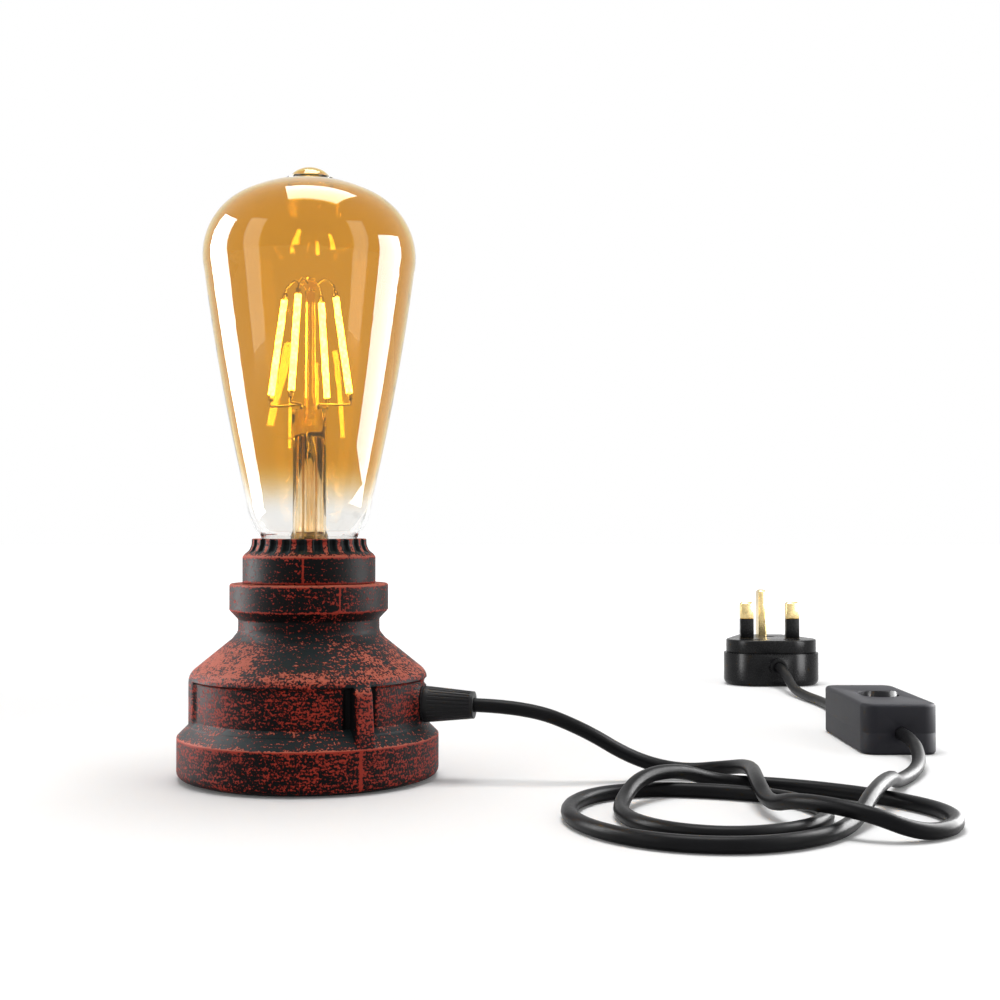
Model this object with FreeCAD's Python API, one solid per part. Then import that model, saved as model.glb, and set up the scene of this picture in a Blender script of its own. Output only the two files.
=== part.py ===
import FreeCAD, Part
import math
import os

# Table lamp whose body looks like a cast pipe reducer: a screw-in filament bulb stands in a fluted
# collar, and a mains cord with a rocker switch and a three-pin plug lies on the table beside it.
# Millimetres. The origin is on the lamp's axis at the table, Z is up, the viewer stands at -Y.

# Base casting, all radii about the lamp's axis
FLANGE_R = 39.6
FLANGE_EDGE_Z = 12.9
FLANGE_BEVEL = 3.5
BODY_R = 36.1
SHOULDER_Z = 28.7
SHOULDER_ROUND = 2.7
CONE_TOP_Z = 41.6
NECK_R = 21.5
NECK_BLEND = 2.3
RING_R = 24.1
RING_BOTTOM_Z = 50.8
RING_TOP_Z = 58.8
RING_BEVEL = 2.0
EDGE_BREAK = 0.6
FOOT_ROUND = 3.0
ARC_MIDDLE = 0.29
CAST_WALL = 3.6
CAST_BOTTOM_Z = 0.8
PANEL_DEPTH = 1.3
PANEL_MARGIN = 1.0
PANEL_TOP_Z = 30.4
RIB_WIDTH = 5.6
RIB_ANGLE = -58.0
RIB_TOP_Z = 33.4
RIB_SLOT_DEPTH = 2.1
RIB_PROUD = 1.4
RIB_SLOT = 2.6
PAD_ANGLE = 186.0
PAD_SPAN = 40.0

# Underside
FOOT_PAD_THICK = 2.2
PLATE_THICK = 1.8
PLATE_LEDGE = 2.8
PLATE_CLEAR = 0.15
PLATE_SCREWS = 3
PLATE_SCREW_AT = 27.0
POST_R = 3.5
SCREW_R = 1.5
SCREW_HEAD_R = 2.8
SCREW_HEAD_H = 1.5
THREAD_DEPTH = 9.0
SCREW_CLEAR = 0.05

# Fluted collar
COLLAR_BAND_R = 20.2
COLLAR_BAND_H = 8.4
COLLAR_FLARE_R = 19.3
COLLAR_TOP_R = 17.3
COLLAR_TOP_Z = 72.4
COLLAR_LIP_R = 15.5
COLLAR_LIP_H = 6.0
SPIGOT_R = 18.0
SPIGOT_LENGTH = 8.0
FLUTES = 24
FLUTE_WIDTH = 2.3
FLUTE_DEPTH = 1.0

# Lampholder
HOLDER_R = 15.8
HOLDER_TOP_Z = 66.0
HOLDER_FLOOR_Z = 44.0
HOLDER_BASE = 5.5
HOLDER_CLEAR = 0.35
SHELL_R = 13.45
SHELL_WALL = 0.4
SHELL_RISE = 0.5
STRIP = 0.5
STRIP_WIDTH = 6.0
CONTACT_AT = 10.0
CONTACT_PIN_R = 1.2
CONTACT_PIN_LENGTH = 3.0
NIPPLE_R = 5.0
NIPPLE_BORE = 3.4
NIPPLE_DEPTH = 3.5
NUT_ACROSS = 14.0
NUT_THICK = 3.5
BRACKET_THICK = 2.0
BRACKET_WIDTH = 12.0
BRACKET_GAP = 0.4
BRACKET_END = 3.2

# Bulb
BULB_TIP_Z = 186.5
BULB_R = 31.95
BULB_WIDEST_Z = 154.0
BULB_SHOULDER_R = 21.0
BULB_SHOULDER_Z = 177.6
BULB_CROWN_IN = 3.6
BULB_CROWN_Z = 171.3
BULB_DOME_R = 14.5
BULB_DOME_Z = 180.4
BULB_WAIST_R = 27.4
BULB_WAIST_Z = 124.5
BULB_LOWER_R = 19.2
BULB_LOWER_Z = 84.5
BULB_LOWER_BOW = 0.9
BULB_MOUTH_R = 15.0
BULB_MOUTH_Z = 73.4
BULB_NECK_R = 13.3
BULB_NECK_Z = 69.5
BULB_FLARE_BOW = 0.6
TIP_R = 5.4
TIP_H = 4.2
TIP_SPREAD = 2.2
TIP_LOW = math.radians(25)
TIP_HIGH = math.radians(55)
BULB_RIM_GAP = 0.1
GLASS = 0.9
CAP_R = 13.15
CAP_SKIRT_R = 14.2
CAP_SKIRT_Z = 67.4
CAP_RIM_Z = 71.4
CAP_THREAD_Z = 52.0
CAP_WALL = 0.4
LEAD_R = 0.4
LEAD_AT = 2.0
EXHAUST_R = 1.2
EXHAUST_OFF = 1.6
DRIVER_SIZE = (17.0, 1.2, 10.5)
CHIP_SIZE = (5.0, 2.2, 4.0)
CHIP_OUT = 1.0
DRIVER_Z = 54.6
CAPACITOR_R = 2.8
CAPACITOR_H = 7.0
BUTTON_R = 4.8
BUTTON_Z = 47.5
BUTTON_H = 1.2
CONTACT_GAP = 0.1
STEM_R = 5.1
STEM_WALL = 0.8
PRESS_Z = 103.5
PRESS_H = 8.5
PRESS_THICK = 3.4
PRESS_LAP = 1.0
POST_TOP_Z = 150.5
GLASS_POST_R = 1.8
FILAMENTS = 4
FILAMENT_R = 1.0
FILAMENT_TURN = -17.0
FILAMENT_TOP_AT = 8.3
FILAMENT_TOP_Z = 148.0
FILAMENT_FOOT_AT = 13.4
FILAMENT_FOOT_Z = 114.8
FILAMENT_END = 2.0
POST_BEAD = 1.25
WIRE_R = 0.35
WIRE_GAP = 0.02
WIRE_LEAD = 1.6
WIRE_ARCH_AT = 5.0
WIRE_ARCH = 1.8
WIRE_ROOT_X = 2.6
WIRE_ROOT_Y = 0.9
WIRE_KNEE_IN = 4.0

# Cord gland
GLAND_ANGLE = -10.0
GLAND_Z = 22.6
GLAND_BOSS_R = 7.0
GLAND_THREAD_R = 4.0
GLAND_FLANGE_R = 5.4
GLAND_FLANGE = 0.8
GLAND_NUT_R = 5.5
GLAND_TIP_R = 4.05
GLAND_NUT_LENGTH = 15.0
GLAND_RIBS = 26
GLAND_GROOVE_R = 0.28
GLAND_GROOVE_IN = 0.12
GLAND_SPIGOT_R = 3.3
GLAND_SPIGOT = 8.0
GLAND_SEAT_IN = 0.4
LOCKNUT_ACROSS = 12.0
LOCKNUT_THICK = 2.4

# Cord
CORD_D = 4.2
CORD_CLEAR = 0.1
CORE_D = 1.9
CORD_TAIL_IN = 10.0

# Inline switch
SWITCH_AT = (192.0, 70.5)
SWITCH_LENGTH = 61.0
SWITCH_WIDTH = 25.4
SWITCH_HEIGHT = 17.0
SWITCH_CORD_Z = 7.2
SWITCH_CORNER = 5.0
SWITCH_EDGE = 1.2
SWITCH_WALL = 1.8
SWITCH_POST_IN = 9.0
POST_IN_WALL = 0.4
ROCKER_WIDTH = 12.4
ROCKER_APERTURE = (13.0, 20.0)
ROCKER_PIVOT_Z = 12.5
ROCKER_TOP = 4.9
ROCKER_DEPTH = 3.2
ROCKER_SWING = 9.75
ROCKER_DISH_R = 34.0
ROCKER_DISH = 0.8
ROCKER_LENGTH = 18.0
ROCKER_TILT = 11.0
LUG_WIDTH = 6.4
LUG_DROP = 2.6
TRUNNION_R = 1.4
TRUNNION_LENGTH = 2.0
TRUNNION_CLEAR = 0.05
PLUNGER_R = 1.2
PLUNGER_REACH = 7.2
PLUNGER_BARE = 2.4
SPRING_SEAT_UP = 1.5
SPRING_WIRE = 0.35
SPRING_TURNS = 4
SEESAW_Z = 4.0
SEESAW_TILT = 6.0
SEESAW_LENGTH = 16.0
SEESAW_WIDTH = 3.6
SEESAW_THICK = 0.8
SEESAW_PIVOT_R = 0.5
SEESAW_STOP = (4.0, 2.4)
RIVET_R = 1.2
COMMON_FOOT = (5.0, 2.6)
COMMON_STRIP = (3.2, 19.0)
COMMON_STRIP_AT = (4.0, 8.2)
FIXED_STRIP = (4.0, 8.0)
FIXED_STRIP_OUT = 3.0
FIXED_PIN_R = 1.5
CORD_STUB = 7.0
CORE_START = 0.6
TERMINAL = (4.6, 4.6, 4.4)
LIVE_IN_OUT = 5.5
LIVE_OUT_AT = (4.0, 15.5)
NEUTRAL_IN_AT = (-7.0, -13.5)
NEUTRAL_OUT_AT = (-3.3, 13.0)
GRUB_SLOT = 0.5
TERMINAL_SCREW_R = 1.2
TERMINAL_SCREW_OUT = 0.8

# Plug
PLUG_AT = (190.0, 243.0)
PLUG_LENGTH = 53.2
PLUG_NECK = 6.8
PLUG_NECK_R = 3.9
PLUG_HALF_WIDTH = 22.7
PLUG_LOBE_R = 14.6
PLUG_TOP_HALF = 13.2
PLUG_CORNER_R = 5.0
PLUG_DEPTH = 22.0
PLUG_SPLIT_Z = 15.5
PLUG_CORD_Z = 10.0
PLUG_WALL = 2.4
PLUG_BACK_ROUND = 3.0
PLUG_BASE_INSET = 1.1
PIN_SPACING = 22.2
PIN_LINE = 25.4
PIN_THICK = 4.0
LINE_PIN = (6.35, 17.7)
EARTH_PIN = (8.0, 22.7)
PIN_ROOT = 3.0
SLEEVE_LENGTH = 9.5
SLEEVE_WALL = 0.35
PLUG_SCREW_AT = [(1.8, 35.9), (-7.2, 13.9), (7.2, 13.9)]
PLUG_SCREW_SMALLER = [0.2, 0.7, 0.7]
PLUG_SCREW_SUNK = 2.4
PLUG_SCREW_H = 1.9
CROSS_WIDTH = 0.7
CROSS_DEPTH = 0.8
PIN_BEVEL = 0.9
PIN_SLACK = 0.1
PLUG_STUB = 6.7
FUSE_R = 3.15
FUSE_LENGTH = 25.4
FUSE_X = -8.4
FUSE_Y = 18.2
FUSE_DROP = 3.4
CLIP_WIDTH = 4.0
CLIP_SHEET = 0.4
CORD_CLAMP = (6.4, 3.0, 1.8)
PLUG_TERMINAL = (3.8, 4.0, 4.4)
LIVE_TERMINAL_X = -2.9
LIVE_TERMINAL_Y = 42.2

V = FreeCAD.Vector
UP = V(0, 0, 1)
X_AXIS = V(1, 0, 0)
Y_AXIS = V(0, 1, 0)
parts = {}


def around(radius, degrees, z=0.0):
    """Point at a radius and an angle about the lamp's axis."""
    a = math.radians(degrees)
    return V(radius * math.cos(a), radius * math.sin(a), z)


def wire_of(start, steps, place):
    """Closed wire: each step is an end point, or a (through, end) pair for an arc."""
    edges = []
    here = place(start)
    for step in list(steps) + [start]:
        if isinstance(step[0], tuple):
            through, end = place(step[0]), place(step[1])
            edges.append(Part.Arc(here, through, end).toShape())
        else:
            end = place(step)
            if (end - here).Length < 1e-6:
                continue
            edges.append(Part.LineSegment(here, end).toShape())
        here = end
    return Part.Wire(edges)


def turned(start, *steps):
    """Solid of revolution about Z from (radius, z) steps."""
    face = Part.Face(wire_of(start, steps, lambda p: V(p[0], 0, p[1])))
    return face.revolve(V(0, 0, 0), UP, 360)


def plate(start, *steps, z, height):
    """Flat plate from (x, y) steps, standing from z."""
    face = Part.Face(wire_of(start, steps, lambda p: V(p[0], p[1], z)))
    return face.extrude(V(0, 0, height))


def side_profile(width, start, *steps):
    """Prism of (y, z) steps, centred on x = 0."""
    face = Part.Face(wire_of(start, steps, lambda p: V(-width / 2, p[0], p[1])))
    return face.extrude(V(width, 0, 0))


def front_profile(width, start, *steps):
    """Prism of (x, z) steps, centred on y = 0."""
    face = Part.Face(wire_of(start, steps, lambda p: V(p[0], -width / 2, p[1])))
    return face.extrude(V(0, width, 0))


def rod(radius, start, end):
    """Round bar between two points."""
    run = end - start
    return Part.makeCylinder(radius, run.Length, start, run)


def cone(r_start, r_end, start, end):
    """Tapered bar between two points."""
    run = end - start
    return Part.makeCone(r_start, r_end, run.Length, start, run)


def block(size, centre, z):
    """Box by its size, the centre of its footprint and its underside."""
    corner = V(centre[0] - size[0] / 2, centre[1] - size[1] / 2, z)
    return Part.makeBox(size[0], size[1], size[2], corner)


def slot_bar(width, length, height, z):
    """Obround bar, long side along Y, centred on the axis."""
    half, r = length / 2 - width / 2, width / 2
    return plate(
        (r, -half), (r, half), ((0, half + r), (-r, half)), (-r, -half), ((0, -half - r), (r, -half)),
        z=z, height=height,
    )


def hexagon(across, thick, start, axis):
    """Hexagonal prism by its width across flats."""
    r = across / math.sqrt(3)
    corners = [around(r, 60 * k) for k in range(7)]
    prism = Part.Face(Part.makePolygon(corners)).extrude(V(0, 0, thick))
    prism.Placement = FreeCAD.Placement(start, FreeCAD.Rotation(UP, axis))
    return prism


def fused(first, *others):
    return first.fuse(list(others)).removeSplitter()


def own_gap(path, diameter):
    """Least gap of a tube to itself, on points a millimetre apart along its middle."""
    points = path.discretize(Distance=1.0)
    apart = math.ceil(math.pi * diameter)
    gap = math.inf
    for k, here in enumerate(points):
        for there in points[k + apart:]:
            gap = min(gap, here.distanceToPoint(there) - diameter)
    return gap


def tube_along(points, diameter):
    """Round tube along straight runs joined by tangent arcs."""
    edges = []
    here = points[0]
    radii = []
    for k in range(1, len(points) - 1):
        before, after = points[k] - points[k - 1], points[k + 1] - points[k]
        shorter = min(before.Length, after.Length)
        before.normalize()
        after.normalize()
        turn = before.getAngle(after)
        reach = 0.45 * shorter
        radius = reach / math.tan(turn / 2)
        radii.append(radius)
        start, end = points[k] - before * reach, points[k] + after * reach
        inward = after - before
        inward.normalize()
        middle = points[k] + inward * (radius / math.cos(turn / 2) - radius)
        edges.append(Part.LineSegment(here, start).toShape())
        edges.append(Part.Arc(start, middle, end).toShape())
        here = end
    edges.append(Part.LineSegment(here, points[-1]).toShape())
    path = Part.Wire(edges)
    ring = Part.Wire(Part.Circle(points[0], points[1] - points[0], diameter / 2).toShape())
    tube = path.makePipeShell([ring], True, False)
    want = math.pi * diameter**2 / 4 * path.Length
    tightest = min(radii) if radii else math.inf
    print(f"tube {path.Length:.1f} mm, tightest bend {tightest:.1f} mm, volume {tube.Volume / want:.4f}")
    print(f"  least gap to itself {own_gap(path, diameter):.2f} mm")
    return tube


def moved(shape, x, y, z=0.0):
    copy = shape.copy()
    copy.translate(V(x, y, z))
    return copy


def keep(name, *solids):
    """Keeps one node: a solid, or several that are the same kind of piece."""
    parts[name] = solids[0] if len(solids) == 1 else Part.makeCompound(list(solids))


# Base casting: outside of the reducer, then its hollow, ribs, posts and holes
def casting():
    bevel_z = FLANGE_EDGE_Z + FLANGE_BEVEL
    shoulder_mid = (BODY_R - 0.75 * SHOULDER_ROUND * 0.35, SHOULDER_Z + SHOULDER_ROUND)
    cone_foot = (BODY_R - SHOULDER_ROUND, SHOULDER_Z + 2 * SHOULDER_ROUND - 0.3)
    cone_head = (NECK_R + NECK_BLEND, CONE_TOP_Z)
    neck_start = (NECK_R, CONE_TOP_Z + 1.6 * NECK_BLEND)
    neck_mid = (NECK_R + 0.28 * NECK_BLEND, CONE_TOP_Z + 0.7 * NECK_BLEND)
    ring_start = (NECK_R, RING_BOTTOM_Z - RING_BEVEL - 0.6)
    outside = turned(
        (0, CAST_BOTTOM_Z),
        (FLANGE_R - FOOT_ROUND, CAST_BOTTOM_Z),
        (
            (FLANGE_R - ARC_MIDDLE * FOOT_ROUND, CAST_BOTTOM_Z + ARC_MIDDLE * FOOT_ROUND),
            (FLANGE_R, CAST_BOTTOM_Z + FOOT_ROUND),
        ),
        (FLANGE_R, FLANGE_EDGE_Z - EDGE_BREAK),
        (
            (FLANGE_R - ARC_MIDDLE * EDGE_BREAK, FLANGE_EDGE_Z - ARC_MIDDLE * EDGE_BREAK),
            (FLANGE_R - EDGE_BREAK, FLANGE_EDGE_Z),
        ),
        (BODY_R, bevel_z),
        (BODY_R, SHOULDER_Z),
        (shoulder_mid, cone_foot),
        cone_head,
        (neck_mid, neck_start),
        ring_start,
        (RING_R, RING_BOTTOM_Z),
        (RING_R, RING_TOP_Z - EDGE_BREAK),
        (RING_R - EDGE_BREAK, RING_TOP_Z),
        (0, RING_TOP_Z),
    )
    seat_r = SPIGOT_R + HOLDER_CLEAR
    seat_z = RING_TOP_Z - SPIGOT_LENGTH - HOLDER_CLEAR
    bore_r = HOLDER_R + HOLDER_CLEAR
    cavity_r = BODY_R - CAST_WALL
    hollow = turned(
        (0, plate_top()),
        (cavity_r, plate_top()),
        (cavity_r, SHOULDER_Z),
        (cone_foot[0] - CAST_WALL, cone_foot[1] - 0.6 * CAST_WALL),
        (bore_r, CONE_TOP_Z - 0.4 * CAST_WALL),
        (bore_r, seat_z),
        (seat_r, seat_z),
        (seat_r, RING_TOP_Z + 1),
        (0, RING_TOP_Z + 1),
    )
    recess = Part.makeCylinder(cavity_r + PLATE_LEDGE + PLATE_CLEAR, plate_top() + 1, V(0, 0, -1))

    # Sunk panels between the ribs, with the plain pad opposite the gland left standing
    band = turned(
        (BODY_R + 3, bevel_z + 0.2),
        (BODY_R - PANEL_DEPTH, bevel_z + PANEL_MARGIN),
        (BODY_R - PANEL_DEPTH, PANEL_TOP_Z - PANEL_MARGIN),
        (BODY_R + 3, PANEL_TOP_Z),
    )
    seat = around(gland_seat(), GLAND_ANGLE, GLAND_Z)
    out = around(1, GLAND_ANGLE)
    stand = [wedge(PAD_ANGLE, PAD_SPAN), rod(GLAND_BOSS_R, seat - out * 12, seat + out * 12)]
    for angle in (RIB_ANGLE, RIB_ANGLE + 180):
        stand.append(rib_bar(angle, RIB_WIDTH, BODY_R + 4))
    band = band.cut(stand)
    slots = []
    ribs = []
    for angle in (RIB_ANGLE, RIB_ANGLE + 180):
        rib = rib_bar(angle, RIB_WIDTH, BODY_R + 5)
        wide = rib_bar(angle, RIB_WIDTH + 2 * RIB_SLOT, BODY_R + 4).cut(rib)
        deep = Part.makeCylinder(BODY_R + 4, PANEL_TOP_Z - bevel_z, V(0, 0, bevel_z))
        deep = deep.cut(Part.makeCylinder(BODY_R - RIB_SLOT_DEPTH, PANEL_TOP_Z, V(0, 0, 0)))
        slots.append(wide.common(deep))
        skin = turned(
            (BODY_R - SHOULDER_ROUND - 1, FLANGE_EDGE_Z - 3),
            (FLANGE_R - 0.1, FLANGE_EDGE_Z - 3),
            (FLANGE_R - 0.1, FLANGE_EDGE_Z),
            (BODY_R + RIB_PROUD, SHOULDER_Z),
            (cone_foot[0], RIB_TOP_Z),
            (BODY_R - SHOULDER_ROUND - 1, RIB_TOP_Z),
        )
        ribs.append(skin.common(rib_bar(angle, RIB_WIDTH, BODY_R + 5)))
    body = outside.cut([band, *slots]).fuse(ribs)
    body = body.cut([hollow, recess])

    posts = []
    holes = []
    for k in range(PLATE_SCREWS):
        foot = around(PLATE_SCREW_AT, 60 + 360 / PLATE_SCREWS * k, plate_top())
        top = SHOULDER_Z + 8.0
        posts.append(rod(POST_R, foot, V(foot.x, foot.y, top)))
        holes.append(rod(SCREW_R + SCREW_CLEAR, foot, foot + V(0, 0, THREAD_DEPTH)))
    for side in (-1, 1):
        foot = V(0, side * bracket_post_at(), bracket_z() + BRACKET_THICK)
        posts.append(rod(POST_R, foot, V(foot.x, foot.y, CONE_TOP_Z)))
        holes.append(rod(SCREW_R + SCREW_CLEAR, foot, foot + V(0, 0, 4.0)))
    holes.append(rod(bore_r, V(0, 0, bracket_z() + BRACKET_THICK), V(0, 0, CONE_TOP_Z)))
    body = body.fuse([post.common(outside) for post in posts]).cut(holes)
    spot = rod(GLAND_FLANGE_R + 0.6, seat, seat + out * 12)
    bore = rod(GLAND_THREAD_R + SCREW_CLEAR, seat - out * 12, seat + out)
    flat = block((4, 2 * LOCKNUT_ACROSS, LOCKNUT_ACROSS + 2), (0, 0), -LOCKNUT_ACROSS / 2 - 1)
    flat.Placement = FreeCAD.Placement(
        around(locknut_at() - 2, GLAND_ANGLE, GLAND_Z), FreeCAD.Rotation(UP, GLAND_ANGLE)
    ).multiply(flat.Placement)
    return body.cut([spot, bore, flat]).removeSplitter()


def plate_top():
    return FOOT_PAD_THICK + PLATE_THICK


def bracket_z():
    return HOLDER_FLOOR_Z - HOLDER_BASE - NUT_THICK - BRACKET_THICK


def hollow_r(z):
    """Radius of the hollow's cone at a height."""
    low_r, low_z = BODY_R - SHOULDER_ROUND - CAST_WALL, cone_foot_z() - 0.6 * CAST_WALL
    high_r, high_z = HOLDER_R + HOLDER_CLEAR, CONE_TOP_Z - 0.4 * CAST_WALL
    return low_r + (high_r - low_r) * (z - low_z) / (high_z - low_z)


def cone_foot_z():
    return SHOULDER_Z + 2 * SHOULDER_ROUND - 0.3


def bracket_half():
    """Half the bracket's length, so that its corners stay inside the hollow."""
    reach = hollow_r(bracket_z() + BRACKET_THICK) - BRACKET_GAP
    return math.sqrt(reach**2 - (BRACKET_WIDTH / 2) ** 2)


def bracket_post_at():
    return bracket_half() - BRACKET_END


def gland_seat():
    """Distance of the spot face that the gland's flange sits on."""
    return BODY_R - GLAND_SEAT_IN


def locknut_at():
    """Distance of the flat that the gland's locknut bears on."""
    return BODY_R - CAST_WALL + 0.4


def rib_bar(angle, width, reach):
    """Radial bar through the casting's wall at an angle."""
    bar = Part.makeBox(reach, width, RING_TOP_Z, V(0, -width / 2, 0))
    bar.rotate(V(0, 0, 0), UP, angle)
    return bar


def wedge(angle, span):
    """Sector of the round body."""
    sector = Part.makeCylinder(BODY_R + 10, RING_TOP_Z, V(0, 0, 0), UP, span)
    sector.rotate(V(0, 0, 0), UP, angle - span / 2)
    return sector


def screw(tip, head, direction=UP):
    """Pan-head screw: its head's top lies at head, its point at tip."""
    inner = head + direction * SCREW_HEAD_H
    return fused(rod(SCREW_HEAD_R, head, inner), rod(SCREW_R, inner - direction * 0.1, tip))


keep("base_casting", casting())

# Underside: plate, its countersunk screws and the soft pad
pad_r = BODY_R - CAST_WALL + PLATE_LEDGE
plate_holes = []
plate_screws = []
for k in range(PLATE_SCREWS):
    at = around(PLATE_SCREW_AT, 60 + 360 / PLATE_SCREWS * k, FOOT_PAD_THICK)
    sunk = at + V(0, 0, SCREW_HEAD_H)
    plate_holes.append(rod(SCREW_R + SCREW_CLEAR, at, at + V(0, 0, PLATE_THICK)))
    plate_holes.append(cone(SCREW_HEAD_R + SCREW_CLEAR, SCREW_R + SCREW_CLEAR, at, sunk))
    tip = at + V(0, 0, PLATE_THICK + THREAD_DEPTH - 1)
    plate_screws.append(fused(cone(SCREW_HEAD_R, SCREW_R, at, sunk), rod(SCREW_R, sunk - V(0, 0, 0.2), tip)))
keep("bottom_plate", Part.makeCylinder(pad_r, PLATE_THICK, V(0, 0, FOOT_PAD_THICK)).cut(plate_holes))
keep("bottom_screws", *plate_screws)
keep("foot_pad", Part.makeCylinder(pad_r, FOOT_PAD_THICK))

# Fluted collar that screws into the casting and hides the lampholder
collar = turned(
    (HOLDER_R + HOLDER_CLEAR, RING_TOP_Z - SPIGOT_LENGTH),
    (SPIGOT_R, RING_TOP_Z - SPIGOT_LENGTH),
    (SPIGOT_R, RING_TOP_Z),
    (COLLAR_BAND_R - EDGE_BREAK, RING_TOP_Z),
    (COLLAR_BAND_R, RING_TOP_Z + EDGE_BREAK),
    (COLLAR_BAND_R, RING_TOP_Z + COLLAR_BAND_H),
    (COLLAR_FLARE_R, RING_TOP_Z + COLLAR_BAND_H + EDGE_BREAK),
    (
        (COLLAR_TOP_R + 0.3, (RING_TOP_Z + COLLAR_BAND_H + COLLAR_TOP_Z) / 2 + 0.3),
        (COLLAR_TOP_R, COLLAR_TOP_Z),
    ),
    (COLLAR_LIP_R, COLLAR_TOP_Z),
    (COLLAR_LIP_R, COLLAR_TOP_Z - COLLAR_LIP_H),
    (HOLDER_R + HOLDER_CLEAR, COLLAR_TOP_Z - COLLAR_LIP_H),
)
flutes = []
for k in range(FLUTES):
    low = RING_TOP_Z + COLLAR_BAND_H + 1.3 * EDGE_BREAK
    flute = plate(
        (COLLAR_TOP_R - FLUTE_DEPTH, -FLUTE_WIDTH / 2), (COLLAR_BAND_R + 1, -FLUTE_WIDTH / 2),
        (COLLAR_BAND_R + 1, FLUTE_WIDTH / 2), (COLLAR_TOP_R - FLUTE_DEPTH, FLUTE_WIDTH / 2),
        z=low, height=COLLAR_TOP_Z - low + 1,
    )
    flute.rotate(V(0, 0, 0), UP, 360 / FLUTES * k)
    flutes.append(flute)
keep("holder_collar", collar.cut(flutes).removeSplitter())

# Lampholder: porcelain body, screw shell, two contacts, nipple, nuts and the bracket it stands on
holder_foot_z = HOLDER_FLOOR_Z - HOLDER_BASE
bore_r = SHELL_R + SHELL_WALL + 0.15
porcelain = turned(
    (0, holder_foot_z),
    (HOLDER_R - 1, holder_foot_z),
    (HOLDER_R, holder_foot_z + 1),
    (HOLDER_R, HOLDER_TOP_Z),
    (bore_r, HOLDER_TOP_Z),
    (bore_r, HOLDER_FLOOR_Z),
    (0, HOLDER_FLOOR_Z),
)
cuts = [rod(NIPPLE_R + SCREW_CLEAR, V(0, 0, holder_foot_z), V(0, 0, holder_foot_z + NIPPLE_DEPTH))]
for side in (-1, 1):
    at = V(side * CONTACT_AT, 0, 0)
    cuts.append(rod(CONTACT_PIN_R + CORD_CLEAR, at + V(0, 0, holder_foot_z), at + V(0, 0, HOLDER_FLOOR_Z)))
keep("lampholder_body", porcelain.cut(cuts))
shell_top_z = HOLDER_TOP_Z + SHELL_RISE
keep("lampholder_shell", turned(
    (SHELL_R, HOLDER_FLOOR_Z), (SHELL_R + SHELL_WALL, HOLDER_FLOOR_Z),
    (SHELL_R + SHELL_WALL, shell_top_z), (SHELL_R, shell_top_z),
))
floor = HOLDER_FLOOR_Z
leaf = BUTTON_Z - CONTACT_GAP
strip_end = SHELL_R - 1.2
spring = front_profile(
    STRIP_WIDTH,
    (strip_end, floor), (strip_end, floor + STRIP), (CONTACT_AT - 4, floor + STRIP), (2.0, leaf),
    (-3.0, leaf), (-3.0, leaf - STRIP), (1.7, leaf - STRIP), (CONTACT_AT - 4.3, floor),
)
pin = rod(CONTACT_PIN_R, V(CONTACT_AT, 0, floor - CONTACT_PIN_LENGTH), V(CONTACT_AT, 0, floor + STRIP / 2))
keep("centre_contact", fused(spring, pin))
tab_r = SHELL_R
tab = front_profile(
    STRIP_WIDTH / 2,
    (-CONTACT_AT + 3, floor), (-CONTACT_AT + 3, floor + STRIP), (-tab_r + 1.6, floor + STRIP),
    (-tab_r + 1.1, floor + 3.5), (-tab_r + 0.2, floor + 3.5), (-tab_r + 0.2, floor),
)
pin = rod(CONTACT_PIN_R, V(-CONTACT_AT, 0, floor - CONTACT_PIN_LENGTH), V(-CONTACT_AT, 0, floor + STRIP / 2))
keep("side_contact", fused(tab, pin))
nipple_foot = bracket_z() - NUT_THICK - 1.0
nipple_ends = (V(0, 0, nipple_foot), V(0, 0, holder_foot_z + NIPPLE_DEPTH))
keep("holder_nipple", rod(NIPPLE_R, *nipple_ends).cut(rod(NIPPLE_BORE, *nipple_ends)))
nuts = []
for z in (bracket_z() - NUT_THICK, bracket_z() + BRACKET_THICK):
    nut = hexagon(NUT_ACROSS, NUT_THICK, V(0, 0, z), UP)
    nuts.append(nut.cut(rod(NIPPLE_R + SCREW_CLEAR, V(0, 0, z), V(0, 0, z + NUT_THICK))))
keep("nipple_nuts", *nuts)
bar = block((BRACKET_WIDTH, 2 * bracket_half(), BRACKET_THICK), (0, 0), bracket_z())
bar_holes = [rod(NIPPLE_R + SCREW_CLEAR, V(0, 0, bracket_z()), V(0, 0, bracket_z() + BRACKET_THICK))]
bracket_screws = []
for side in (-1, 1):
    at = V(0, side * bracket_post_at(), bracket_z())
    bar_holes.append(rod(SCREW_R + SCREW_CLEAR, at, at + V(0, 0, BRACKET_THICK)))
    bracket_screws.append(screw(at + V(0, 0, BRACKET_THICK + 3.5), at - V(0, 0, SCREW_HEAD_H)))
keep("holder_bracket", bar.cut(bar_holes))
keep("bracket_screws", *bracket_screws)

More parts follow.
